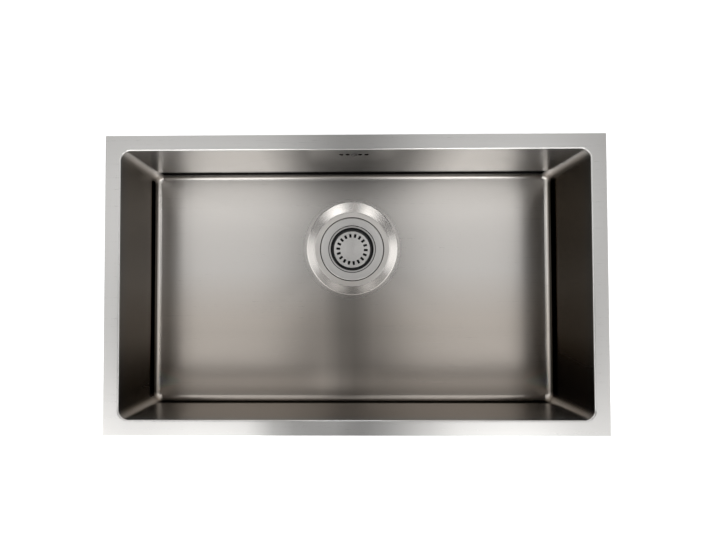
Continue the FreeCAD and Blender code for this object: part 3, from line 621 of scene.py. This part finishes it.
class Column:
    """One line of the bowl's sheet from the drain over floor, wall and flange."""

    def __init__(self, side, along=None, corner=None, angle=None):
        self.side, self.along, self.corner, self.angle = side, along, corner, angle

    def at(self, inset):
        """The point of the bowl's outline at an inset from the wall."""
        if self.corner is not None:
            reach = CORNER - inset
            return self.corner + Vector((math.cos(self.angle), math.sin(self.angle))) * reach
        across = (HALF_WIDTH if self.side[1] else HALF_LENGTH) - inset
        if self.side[1]:
            return Vector((self.along, across * self.side[1]))
        return Vector((across * self.side[0], self.along))

    def rim(self):
        """The point on the flange's outer edge."""
        if self.corner is None:
            return self.at(-FLANGE)
        x, y = HALF_LENGTH + FLANGE, HALF_WIDTH + FLANGE
        ray = Vector((math.cos(self.angle), math.sin(self.angle)))
        reach_x = (x - abs(self.corner.x)) / max(abs(ray.x), 1e-9)
        reach_y = (y - abs(self.corner.y)) / max(abs(ray.y), 1e-9)
        return self.corner + ray * min(reach_x, reach_y)


def bowl_columns():
    columns = []
    arc_x, arc_y = HALF_LENGTH - CORNER, HALF_WIDTH - CORNER
    for index, side in enumerate(SIDES):
        reach = (HALF_WIDTH if side[1] else HALF_LENGTH) - FLOOR_BEND
        middle = math.radians(-90 + 90 * index)
        for step in range(-45, 46):
            angle = middle + step * RAY_STEP
            ray = Vector((math.cos(angle), math.sin(angle)))
            facing = ray.x * side[0] + ray.y * side[1]
            if facing <= 0.02:
                continue
            start = DRAIN.x * side[0] + DRAIN.y * side[1]
            point = DRAIN.xy + ray * ((reach - start) / facing)
            along = point.x if side[1] else point.y
            limit = (arc_x if side[1] else arc_y) - 1.5 * MM
            if abs(along) < limit:
                columns.append(Column(side, along=along))
        ahead = middle + math.radians(45)
        corner_x = math.copysign(arc_x, math.cos(ahead))
        corner = Vector((corner_x, math.copysign(arc_y, math.sin(ahead))))
        for step in range(ARC_STEPS + 1):
            angle = middle + math.radians(90) * step / ARC_STEPS
            columns.append(Column(side, corner=corner, angle=angle))
    return columns


def soft_max(a, b, softness):
    return (a + b + math.sqrt((a - b) ** 2 + softness ** 2)) / 2


def floor_height(x, y):
    """Top of the floor: four planes that fall to the drain, with soft creases between them."""
    along, across = HALF_LENGTH - LEVEL_INSET, HALF_WIDTH - LEVEL_INSET
    to_rear, to_front = across - DRAIN.y, across + DRAIN.y
    share_x = abs(x - DRAIN.x) / along
    share_y = (y - DRAIN.y) / to_rear if y > DRAIN.y else (DRAIN.y - y) / to_front
    share = soft_max(share_x, share_y, CREASE_SOFTNESS)
    share = 1 - soft_max(1 - share, 0, CREASE_SOFTNESS)
    return -DEPTH - FLOOR_FALL * (1 - share)


FLOOR_SHARES = (0.03, 0.08, 0.16, 0.26, 0.38, 0.5, 0.62, 0.73, 0.83, 0.91, 0.96, 1.0)


def floor_line(column):
    """The recess and the floor along a column, as points (x, y, z) from the waste hole outwards."""
    away = column.at(FLOOR_BEND) - DRAIN.xy
    length = away.length
    away.normalize()

    def height(radius):
        spot = DRAIN.xy + away * radius
        return floor_height(spot.x, spot.y)

    mouth = RECESS_FLAT
    for _ in range(20):
        mouth = RECESS_FLAT + RECESS_SLOPE * (height(mouth) - RECESS_Z)
    beyond = mouth + 12 * MM
    corners = [
        (WASTE_HOLE, RECESS_Z, 0), (RECESS_FLAT, RECESS_Z, RECESS_BEND),
        (mouth, height(mouth), MOUTH_BEND), (beyond, height(beyond), 0),
    ]
    line = rounded(corners, 5)
    line[1:1] = [line[0].lerp(line[1], share) for share in (0.03, 0.3, 0.6, 0.9)]
    for share in FLOOR_SHARES:
        radius = beyond + (length - beyond) * share
        line.append(Vector((radius, height(radius))))
    line[-1].y = -DEPTH
    return [(DRAIN + Vector((away.x * p.x, away.y * p.x, p.y))) for p in line]


WALL_HEIGHTS = (-188, -182, -168, -140, -110, -80, -60, -46, -33, -20, -9, -4.5)
FLANGE_SHARES = (0.03, 0.25, 0.5, 0.75, 0.985)
EDGE = 0.15 * MM


def column_points(column):
    """All points of the sheet along a column, round its section, and the region of each."""
    points, regions = [], []

    def add(region, spot, z):
        points.append(Vector((spot.x, spot.y, z)))
        regions.append(region)

    floor = floor_line(column)
    for point in floor:
        add("floor", point, point.z)
    for step in range(1, 9):
        angle = math.pi / 2 * step / 8
        inset = FLOOR_BEND * (1 - math.sin(angle))
        add("wall", column.at(inset), -DEPTH + FLOOR_BEND * (1 - math.cos(angle)))
    for height in WALL_HEIGHTS:
        add("wall", column.at(0), height * MM)
    for step in range(8):
        angle = math.pi / 2 * step / 7
        inset = -LIP_BEND * (1 - math.cos(angle))
        add("wall", column.at(inset), -LIP_BEND * (1 - math.sin(angle)))
    inner, rim = column.at(-LIP_BEND), column.rim()
    for share in FLANGE_SHARES:
        add("flange", inner.lerp(rim, share), 0)
    nearly = inner.lerp(rim, 1 - EDGE / (rim - inner).length)
    add("flange", nearly, 0)
    add("edge", rim, -EDGE)
    add("edge", rim, EDGE - SHEET)
    add("under", nearly, -SHEET)
    for share in FLANGE_SHARES[::-1]:
        add("under", inner.lerp(rim, share), -SHEET)
    under_bend = LIP_BEND - SHEET
    for step in range(6):
        angle = math.pi / 2 * (1 - step / 5)
        inset = -LIP_BEND + under_bend * math.cos(angle)
        add("outside", column.at(inset), -LIP_BEND + under_bend * math.sin(angle))
    for height in WALL_HEIGHTS[::-1]:
        add("outside", column.at(-SHEET), height * MM)
    outer_bend = FLOOR_BEND + SHEET
    for step in range(8, 0, -1):
        angle = math.pi / 2 * step / 8
        inset = FLOOR_BEND - outer_bend * math.sin(angle)
        add("outside", column.at(inset), -DEPTH + FLOOR_BEND - outer_bend * math.cos(angle))
    for point in floor[::-1]:
        add("below", point, point.z - SHEET)
    return points, regions


def grain_of(region, column, point, run, perimeter):
    """Texture place of a point: first across the grain, then along it."""
    if region in ("floor", "flange", "under", "below"):
        return (point.y, point.x)
    if column.corner is None and column.side[0]:
        return (perimeter, run)
    return (run, perimeter)


def bowl():
    columns = bowl_columns()
    sections = [column_points(column) for column in columns]
    count, rows = len(columns), len(sections[0][0])
    verts = [sections[c][0][r] for r in range(rows) for c in range(count)]
    runs = []
    for points, _ in sections:
        run, total = [0.0], 0.0
        for before, after in zip(points, points[1:]):
            total += (after - before).length
            run.append(total)
        runs.append(run + [total + SHEET])
    walk = [0.0]
    for before, after in zip(columns, columns[1:] + columns[:1]):
        walk.append(walk[-1] + (after.at(0) - before.at(0)).length)
    faces, uvs = [], []
    for r in range(rows):
        above = (r + 1) % rows
        for c in range(count):
            beside = (c + 1) % count
            start, following = r * count, above * count
            faces.append((start + c, start + beside, following + beside, following + c))
            region = sections[c][1][above]
            owner = columns[c]
            if owner.corner is not None and columns[beside].corner is None:
                owner = columns[beside]
            for row, column, way in ((r, c, 0), (r, beside, 1), (above, beside, 1), (above, c, 0)):
                run = runs[column][row if row >= r else rows]
                uvs.append(grain_of(region, owner, sections[column][0][row], run, walk[c + way]))
    mesh = bpy.data.meshes.new("bowl_sheet")
    mesh.from_pydata([tuple(v) for v in verts], [], faces)
    layer = mesh.uv_layers.new(name="grain")
    for index, uv in enumerate(uvs):
        layer.data[index].uv = uv
    mesh.update()
    tools = []
    for step in (-2, -1, 0, 1, 2):
        radius = OVERFLOW_HOLE if step else SCREW_HOLE
        place = Vector((step * OVERFLOW_PITCH, HALF_WIDTH, OVERFLOW_Z))
        hole = rod_mesh(radius, Vector((0, -4 * MM, 0)), Vector((0, 6 * MM, 0)), 40)
        stretch = Matrix.Diagonal((1, 1, OVERFLOW_TALL if step else 1, 1))
        hole.transform(Matrix.Translation(place) @ stretch)
        tools.append(hole)
    mesh = combine(mesh, tools, "DIFFERENCE")
    mesh.materials.clear()
    dress("bowl_sheet", mesh, bowl_steel, BODY, "sink_bowl", 35)
    mesh.materials.append(recess_steel)
    for face in mesh.polygons:
        if (face.center.xy - DRAIN.xy).length < RECESS_MOUTH:
            face.material_index = 1


# Waste


def mm_corners(*corners):
    return [(x * MM, z * MM, radius * MM) for x, z, radius in corners]


def slot_tools(count, inner, outer, width, low, high, corner, first=0.0):
    """Radial slots with rounded corners round the drain's axis, as cutting meshes."""
    tools = []
    for index in range(count):
        spin = Matrix.Rotation(math.radians(first + index * 360 / count), 3, "Z")
        outline = []
        for quarter, (x, y) in enumerate(((outer, 1), (inner, 1), (inner, -1), (outer, -1))):
            shift = math.copysign(corner, x - (inner + outer) / 2)
            middle = Vector((x - shift, y * (width / 2 - corner), 0))
            for step in range(5):
                angle = math.radians(90 * quarter + 90 * step / 4)
                outline.append(middle + Vector((math.cos(angle), math.sin(angle), 0)) * corner)
        tools.append(capped_tube("slot", [
            [DRAIN + spin @ (point + Vector((0, 0, z))) for point in outline] for z in (low, high)
        ]))
    return tools


def strainer():
    dish = turned_sheet("strainer_dish_top", mm_corners(
        (56, -206.7, 0), (56, -204, 1.3), (41.8, -204, 1.04), (41.8, -205.6, 0.5),
        (37.5, -205.6, 1.1), (37.5, -217, 0.8), (35, -217, 1.1), (34, -232, 3.5), (4.1, -232, 0),
    ), DISH_SHEET, 160)
    low, high = -236 * MM, -229 * MM
    slots = slot_tools(10, 12 * MM, 23 * MM, 5 * MM, low, high, 2.4 * MM)
    dish = combine(dish, slots, "DIFFERENCE")
    dress("strainer_dish_turned", dish, dish_steel, BODY, "strainer_dish", 35)

    cap = turned_sheet("basket_cap_turned", mm_corners(
        (33.5, -222, 0), (33.5, -211, 1.8), (0, -211, 0),
    ), CAP_SHEET, 144)
    low, high = -213.5 * MM, -209 * MM
    slots = slot_tools(18, 21.3 * MM, 28.3 * MM, 4.1 * MM, low, high, 0.9 * MM, 97.0)
    cap = combine(cap, slots, "DIFFERENCE")
    dress("basket_cap_turned", cap, dish_steel, BASKET, "basket_cap", 35)

    ring = rounded(mm_corners(
        (33.5, -216.6, 0), (37.2, -216.6, 0.5), (37.2, -212.8, 1.2), (33.5, -212.8, 0),
    ))
    bell_top = rounded(mm_corners(
        (29, -229.5, 0), (25, -229.5, 1.2), (13, -216, 3), (3.8, -216, 0),
    ))
    bell_foot = rounded(mm_corners(
        (29, -232, 0), (26.1, -232, 1.0), (14.1, -218.5, 2), (3.8, -218.5, 0),
    ))
    rim = rounded(mm_corners((27, -232, 0), (29, -232, 0.8), (29, -229.5, 0.8), (27, -229.5, 0)))
    bell = rim[1:-1] + bell_top[1:] + bell_foot[1:][::-1]
    for replaced, line, segments in (("basket_ring", ring, 128), ("basket_stopper", bell, 112)):
        name = f"{replaced}_moulded"
        mesh = turned_mesh(name, line, segments)
        dress(name, mesh, seal_rubber, BASKET, replaced)


def thread_radius(root, crest, phase):
    """Radius of a rounded thread at a phase from 0 to 1 of its pitch."""
    wave = 0.5 + 0.5 * math.cos(TURN * phase)
    return root + (crest - root) * min(max((wave - 0.2) / 0.6, 0), 1)


def threaded_rows(start, end, root, crest, pitch, segments, per_pitch=8):
    """Rows of points round a threaded length; the thread runs out at both ends."""
    along = end - start
    length = along.length
    along.normalize()
    side = along.orthogonal().normalized()
    other = along.cross(side)
    steps = round(length / pitch * per_pitch)
    rows = []
    for step in range(steps + 1):
        travel = length * step / steps
        fade = min(travel, length - travel) / pitch
        row = []
        for index in range(segments):
            angle = TURN * index / segments
            radius = thread_radius(root, crest, (travel / pitch - index / segments) % 1)
            radius = root + (radius - root) * min(max(fade, 0), 1)
            spoke = side * math.cos(angle) + other * math.sin(angle)
            row.append(start + along * travel + spoke * radius)
        rows.append(row)
    return rows


def waste_body():
    line = rounded(mm_corners(
        (43, -211.2, 0), (56, -211.2, 0.6), (56, -215.2, 0.8), (46, -215.2, 1.5), (46, -256.2, 4),
        (23, -265.2, 3), (22.4, -268, 0), (22.4, -291.2, 0.4), (20.5, -291.2, 0.4),
        (20.5, -262.2, 3), (43, -253.2, 4), (43, -211.2, 0.5),
    ))
    line = line[:-1] if (line[0] - line[-1]).length < 1e-6 else line
    cup = turned_mesh("waste_cup", line, 128)
    parts = []
    for index in range(GUSSETS):
        angle = (index + 0.5) * TURN / GUSSETS
        spin = Matrix.Rotation(angle, 3, "Z")
        outline = [(44.5, -215.1), (54, -215.1), (54, -216), (46.5, -227.2), (44.5, -227.2)]
        parts.append(capped_tube("gusset", [
            [DRAIN + spin @ (Vector((x, side, z)) * MM) for x, z in outline]
            for side in (-1.25, 1.25)
        ]))
    for index in range(SPIDER_ARMS):
        angle = index * TURN / SPIDER_ARMS - TURN / 4
        parts.append(box_mesh((38 * MM, 3 * MM, 15 * MM), (25.5 * MM, 0, -249.5 * MM), angle))
    boss = rounded(mm_corners(
        (4.1, -251, 0), (7.1, -251, 0), (7.1, -237, 0.3), (10, -237, 0.8), (10, -257, 0.8),
        (4.1, -257, 0),
    ))
    parts.append(turned_mesh("boss", boss, 48))
    inlet = DRAIN + Vector((0, 44.5 * MM, LOWER_UNION.z))
    parts.append(rod_mesh(10.2 * MM, inlet, LOWER_UNION, 48))
    body = combine(cup, parts, "UNION")
    bore_start = inlet - Vector((0, 6 * MM, 0))
    bore = rod_mesh(8 * MM, bore_start, LOWER_UNION + Vector((0, 5 * MM, 0)), 40)
    body = combine(body, [bore], "DIFFERENCE")
    dress("waste_body_moulded", body, waste_plastic, BODY, "waste_body", 30)
    start = DRAIN + Vector((0, 0, OUTLET_END + 0.8 * MM))
    end = DRAIN + Vector((0, 0, -267.5 * MM))
    sleeve("outlet_thread", start, end, 22.35 * MM, 23.9 * MM, 2.309 * MM, 96)
    start, end = (LOWER_UNION - Vector((0, back * MM, 0)) for back in (1, 15))
    sleeve("inlet_thread", start, end, 10.15 * MM, 11 * MM, 2 * MM, 64)


def sleeve(name, start, end, root, crest, pitch, segments):
    """A raised thread as a thin closed sleeve that sits on its spigot."""
    rows = threaded_rows(start, end, root, crest, pitch, segments)
    inner = []
    for row in (rows[-1], rows[0]):
        middle = sum(row, Vector()) / len(row)
        inner.append([middle + (point - middle) * 0.97 for point in row])
    verts, faces = tube_of_rows(rows + inner)
    dress(name, mesh_of(name, verts, faces), waste_plastic, BODY, "waste_body", 60)


# Overflow


def stadium(half_run, radius, steps=16):
    """A long round outline in the XZ plane, about its own middle."""
    points = []
    for side, first in ((1, -90), (-1, 90)):
        for step in range(steps + 1):
            angle = math.radians(first + 180 * step / steps)
            points.append((side * half_run + radius * math.cos(angle), radius * math.sin(angle)))
    return points


def overflow():
    half_run, radius, bend, wall = 18 * MM, 12 * MM, 4.5 * MM, 2.5 * MM
    front, back = 203.2 * MM, 227.4 * MM
    stations = [(wall, back - wall), (wall, front), (0, front), (0, front + 1 * MM)]
    stations.append((0, back - bend - 2 * MM))
    for step in range(7):
        angle = math.pi / 2 * step / 6
        stations.append((bend * (1 - math.cos(angle)), back - bend + bend * math.sin(angle)))
    shell = capped_tube("overflow_shell", [
        [Vector((x, y, OVERFLOW_Z + z)) for x, z in stadium(half_run, radius - shrink)]
        for shrink, y in stations
    ])
    top = Vector((0, UPPER_UNION.y, OVERFLOW_Z))
    spigot = rod_mesh(10.2 * MM, top, UPPER_UNION, 48)
    collar = rod_mesh(12.2 * MM, top, UPPER_UNION + Vector((0, 0, 13.5 * MM)), 48)
    boss_start = Vector((0, front, OVERFLOW_Z))
    boss = rod_mesh(6 * MM, boss_start, boss_start + Vector((0, 23 * MM, 0)), 40)
    shell = combine(shell, [spigot, boss, collar], "UNION")
    lower = Vector((0, 0, 5 * MM))
    bore = rod_mesh(8 * MM, top - lower, UPPER_UNION - lower, 40)
    pocket_start = boss_start - Vector((0, 1 * MM, 0))
    pocket = rod_mesh(4.1 * MM, pocket_start, pocket_start + Vector((0, 11 * MM, 0)), 32)
    shell = combine(shell, [bore, pocket], "DIFFERENCE")
    name = "overflow_housing_moulded"
    dress(name, shell, waste_plastic, BODY, "overflow_housing", 30)

    head = rounded(mm_corners(
        (0, 2.4, 0), (3.2, 2.3, 1.5), (4.6, 1.2, 0.5), (4.6, 0, 0), (2.5, 0, 0), (2.5, -14, 0.4),
        (0, -14, 0),
    ))
    screw = turned_mesh("overflow_screw_turned", head, 48, close=False, axis_at=Vector())
    drive = rod_mesh(1.75 * MM, Vector((0, 0, 1.0 * MM)), Vector((0, 0, 4 * MM)), 6)
    screw = combine(screw, [drive], "DIFFERENCE")
    spin = Vector((0, -1, 0)).to_track_quat("Z", "Y").to_matrix().to_4x4()
    screw.transform(Matrix.Translation(Vector((0, HALF_WIDTH, OVERFLOW_Z))) @ spin)
    # The screw wears the darkened steel as painted shade
    dress("overflow_screw_turned", screw, screw_shade_steel, BODY, "overflow_screw", 30)


HOSE_BEND = 40 * MM  # radius at the hose's middle
HOSE_START = UPPER_UNION - Vector((0, 0, 2 * MM))
HOSE_END = LOWER_UNION + Vector((0, 2 * MM, 0))
HOSE_DOWN = HOSE_START.z - HOSE_END.z - HOSE_BEND
HOSE_ARC = HOSE_BEND * math.pi / 2
HOSE_FORWARD = HOSE_START.y - HOSE_BEND - HOSE_END.y
HOSE_LENGTH = HOSE_DOWN + HOSE_ARC + HOSE_FORWARD
HOSE_BORE = 8 * MM
CUFF = 14 * MM
RIBS = 25


def hose_station(travel):
    """The hose's middle and heading at a distance along it: down, round a bend and forward."""
    if travel <= HOSE_DOWN:
        return HOSE_START - Vector((0, 0, travel)), Vector((0, 0, -1))
    turn = min((travel - HOSE_DOWN) / HOSE_BEND, math.pi / 2)
    centre = HOSE_START - Vector((0, HOSE_BEND, HOSE_DOWN))
    spot = centre + Vector((0, math.cos(turn), -math.sin(turn))) * HOSE_BEND
    heading = Vector((0, -math.sin(turn), -math.cos(turn)))
    return spot + heading * max(travel - HOSE_DOWN - HOSE_ARC, 0), heading


def hose_profile():
    """Distance and radius along the hose's outside: collar, cuff, rounded ribs, cuff, collar."""
    root, crest = 9.2 * MM, 11.2 * MM
    pitch = (HOSE_LENGTH - 2 * CUFF) / RIBS
    ends = [(0, 11), (2, 11), (2.05, 9.8), (13.5, 9.8), (14, 9.4)]
    profile = [(at * MM, radius * MM) for at, radius in ends]
    steps = 14
    for rib in range(RIBS):
        for step in range(steps):
            share = (step + 0.5) / steps
            away = abs(share - 0.5) * pitch
            radius = root + (crest - root) * eased((2.9 * MM - away) / (1.7 * MM))
            profile.append((CUFF + (rib + share) * pitch, radius))
    return profile + [(HOSE_LENGTH - at * MM, radius * MM) for at, radius in ends[::-1]]


def hose():
    bore = [(HOSE_LENGTH * (1 - step / 60), HOSE_BORE) for step in range(61)]
    side = Vector((1, 0, 0))
    rows = []
    for travel, radius in hose_profile() + bore:
        middle, heading = hose_station(travel)
        rows.append(circle(middle, side, heading.cross(side), radius, 40))
    mesh = mesh_of("overflow_hose_ribbed", *tube_of_rows(rows))
    dress("overflow_hose_ribbed", mesh, hose_plastic, BODY, "overflow_hose", 50)


def union_nut(node_name, place, heading):
    """A nut with eight grip ribs, from its open end at the thread to its lip over the hose."""
    side = Vector((1, 0, 0))
    other = heading.cross(side)
    segments, ribs = 128, 8
    rows = []
    for at, swell in ((-9, 0.9), (-8.6, 0.98), (-8, 1), (5, 1), (5.6, 0.98), (6, 0.93)):
        row = []
        for index in range(segments):
            angle = TURN * index / segments
            near = abs((angle * ribs / TURN) % 1 - 0.5) * TURN / ribs * 13.5
            radius = (13 + eased((2.1 - near) / 0.9)) * swell * MM
            spoke = side * math.cos(angle) + other * math.sin(angle)
            row.append(place + heading * at * MM + spoke * radius)
        rows.append(row)
    for at, radius in ((6, 9.9), (4.05, 9.9), (4, 11.1), (-9, 11.1)):
        rows.append(circle(place + heading * at * MM, side, other, radius * MM, segments))
    name = f"{node_name}_ribbed"
    mesh = mesh_of(name, *tube_of_rows(rows))
    dress(name, mesh, nut_plastic, BODY, node_name, 35)


# Sound pads


def wall_pad(node_name):
    """A rubber pad with rounded corners and edges, in the place of its node."""
    low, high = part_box(node_name)
    middle, half = (low + high) / 2, (high - low) / 2
    if half.x < half.y:
        outward, side = Vector((math.copysign(1, middle.x), 0, 0)), Vector((0, 1, 0))
        thickness, half_length = half.x, half.y
    else:
        outward, side = Vector((0, math.copysign(1, middle.y), 0)), Vector((1, 0, 0))
        thickness, half_length = half.y, half.x
    half_height, up = half.z, Vector((0, 0, 1))
    corner, edge = 8 * MM, 0.9 * MM

    def outline(inset, lift):
        points = []
        for index, (sx, sz) in enumerate(((1, 1), (-1, 1), (-1, -1), (1, -1))):
            for step in range(9):
                angle = math.radians(90 * index + 90 * step / 8)
                x = sx * (half_length - corner) + (corner - inset) * math.cos(angle)
                z = sz * (half_height - corner) + (corner - inset) * math.sin(angle)
                points.append(middle + side * x + up * z + outward * lift)
        return points

    rows = [outline(0, -thickness), outline(0, thickness - edge)]
    for step in range(1, 6):
        angle = math.pi / 2 * step / 5
        inset, drop = edge * (1 - math.cos(angle)), edge * (1 - math.sin(angle))
        rows.append(outline(inset, thickness - drop))
    name = f"{node_name}_cut"
    dress(name, capped_tube(name, rows), pad_rubber, BODY, node_name, 35)


bowl()
strainer()
waste_body()
overflow()
hose()
union_nut("hose_nut_upper", UPPER_UNION, Vector((0, 0, -1)))
union_nut("hose_nut_lower", LOWER_UNION, Vector((0, 1, 0)))
for pad in ("left", "right", "front", "rear_left", "rear_right"):
    wall_pad(f"wall_pad_{pad}")

slots = {part["node"]: part["material_slot"] for part in frame["record"]["subparts"]}
for name, item in frame["nodes"].items():
    if not item.hide_render:
        item.data.materials.clear()
        item.data.materials.append(SLOT_MATERIALS[slots[name]])


# Studio


def plane(name, size, place, mat):
    mesh = bpy.data.meshes.new(name)
    x = size / 2
    mesh.from_pydata([(-x, -x, 0), (x, -x, 0), (x, x, 0), (-x, x, 0)], [], [(0, 1, 2, 3)])
    made = bpy.data.objects.new(name, mesh)
    made.location = place
    mesh.materials.append(mat)
    bpy.context.scene.collection.objects.link(made)
    return made


def background_rays(tree):
    """1 for rays that see the background: from the camera, off gloss or through glass."""
    rays = node(tree, "ShaderNodeLightPath").outputs
    seen = maths("MAXIMUM", rays["Is Camera Ray"], rays["Is Glossy Ray"])
    return maths("MAXIMUM", seen, rays["Is Transmission Ray"])


STAGE_SIZE = 30
FLOOR_Z = OUTLET_END - 1 * MM
floor_paint = bpy.data.materials.new("stage_floor")
floor_paint.use_nodes = True
tree = floor_paint.node_tree
base = tree.nodes["Principled BSDF"]
base.inputs["Base Color"].default_value = (0.8, 0.8, 0.8, 1)
base.inputs["Roughness"].default_value = 0.9
base.inputs["Specular IOR Level"].default_value = 0.1
plain = base.outputs[0]
glow = node(tree, "ShaderNodeEmission", Strength=0.62)
lit = node(tree, "ShaderNodeAddShader", [(0, plain), (1, glow.outputs[0])]).outputs[0]
shown = node(tree, "ShaderNodeMixShader", [(0, background_rays(tree)), (1, plain), (2, lit)])
tree.links.new(shown.outputs[0], tree.nodes["Material Output"].inputs["Surface"])
plane("stage_floor", STAGE_SIZE, (0, 0, FLOOR_Z), floor_paint)

# Overhead: a black canopy with soft boxes across it, the front and near ones dark over the middle
CANOPY_HEIGHT, CANOPY_SIZE = 1.06, 3.0
canopy_paint = bpy.data.materials.new("stage_canopy")
canopy_paint.use_nodes = True
tree = canopy_paint.node_tree
tree.nodes.remove(tree.nodes["Principled BSDF"])
X, Y = parts_of(object_place(tree))[:2]


def soft_step(source, low, high, start, end):
    made = span(source, low, high, start, end)
    made.node.interpolation_type = "SMOOTHSTEP"
    return made


def band(source, start, end, soft):
    """1 from start to end, with soft edges."""
    opening = soft_step(source, 0, 1, start - soft, start + soft)
    return product(opening, soft_step(source, 1, 0, end - soft, end + soft))


FRONT_PROFILE = (
    (-1.3, 0.4), (-0.75, 0.6), (-0.6, 1), (-0.5, 1.08), (-0.3, 1.08), (0.3, 0.95), (0.42, 1.12),
    (0.58, 1.22), (0.66, 1), (0.72, 0.7), (0.8, 0.3), (1.3, 0.15),
)
ENDS_PROFILE = ((-1.2, 0.3), (-0.9, 0.5), (-0.75, 1), (0.6, 1), (0.85, 0.6), (1.1, 0.3))
away = absolute(X, 0.02)
ends = curve(X, ENDS_PROFILE)
beside = soft_step(away, 0, 1, 0, 0.3)
wings = soft_step(absolute(X, -0.01), 0.02, 1, 0.09, 0.29)
across = between(beside, soft_step(Y, 0.12, 0.6, 0.15, 0.5), 1.0)
boxes = (
    (3.7, product(wings, curve(X, FRONT_PROFILE), band(Y, -0.95, -0.47, 0.07))),  # front
    (1.22, product(across, ends, band(Y, 0.03, 0.56, 0.08))),  # over the rear of the bowl
    (2.4, product(band(X, -0.07, -0.02, 0.03), band(Y, -0.34, -0.2, 0.03))),  # spot
    (1.2, product(beside, band(Y, 0.85, 1.15, 0.05))),  # far behind
    (2.5, product(ends, soft_step(away, 0.03, 1, 0.1, 0.3), band(Y, -1.45, -1.02, 0.03))),  # near
    (0.9, product(band(away, 0.72, 1.35, 0.06), band(Y, -0.8, 0.0, 0.06))),  # at the sides
)
strengths = [product(box, strength) for strength, box in boxes]
total = strengths[0]
for strength in strengths[1:]:
    total = maths("ADD", total, strength)
light = node(tree, "ShaderNodeEmission", [("Strength", total)])
tree.links.new(light.outputs[0], tree.nodes["Material Output"].inputs["Surface"])
canopy = plane("stage_canopy", CANOPY_SIZE, (0, 0, CANOPY_HEIGHT), canopy_paint)
canopy.visible_camera = False

world = bpy.data.worlds.new("studio")
bpy.context.scene.world = world
world.use_nodes = True
background = world.node_tree.nodes["Background"]
background.inputs["Color"].default_value = (1, 1, 1, 1)
background.inputs["Strength"].default_value = 1.0

# Camera, above the bowl and a little in front of its middle
FRAME_WIDTH, FRAME_HEIGHT = 716, 540
FOCAL_PIXELS = 674.243
CENTRE_PIXEL = (327.825, 278.656)
CAMERA_PLACE = (-0.0227117, -0.0275010, 0.997988)
CAMERA_TURN = (0.0354621, 0.0173055, -0.0016559)
camera_data = bpy.data.cameras.new("camera")
camera_data.sensor_fit = "HORIZONTAL"
camera_data.sensor_width = 36
camera_data.lens = FOCAL_PIXELS / FRAME_WIDTH * camera_data.sensor_width
camera_data.shift_x = (FRAME_WIDTH / 2 - CENTRE_PIXEL[0]) / FRAME_WIDTH
camera_data.shift_y = (CENTRE_PIXEL[1] - FRAME_HEIGHT / 2) / FRAME_WIDTH
camera_data.clip_start, camera_data.clip_end = 0.01, 100
camera = bpy.data.objects.new("camera", camera_data)
camera.location = CAMERA_PLACE
camera.rotation_euler = CAMERA_TURN
bpy.context.scene.collection.objects.link(camera)
bpy.context.scene.camera = camera
bpy.context.scene.view_settings.view_transform = "Standard"
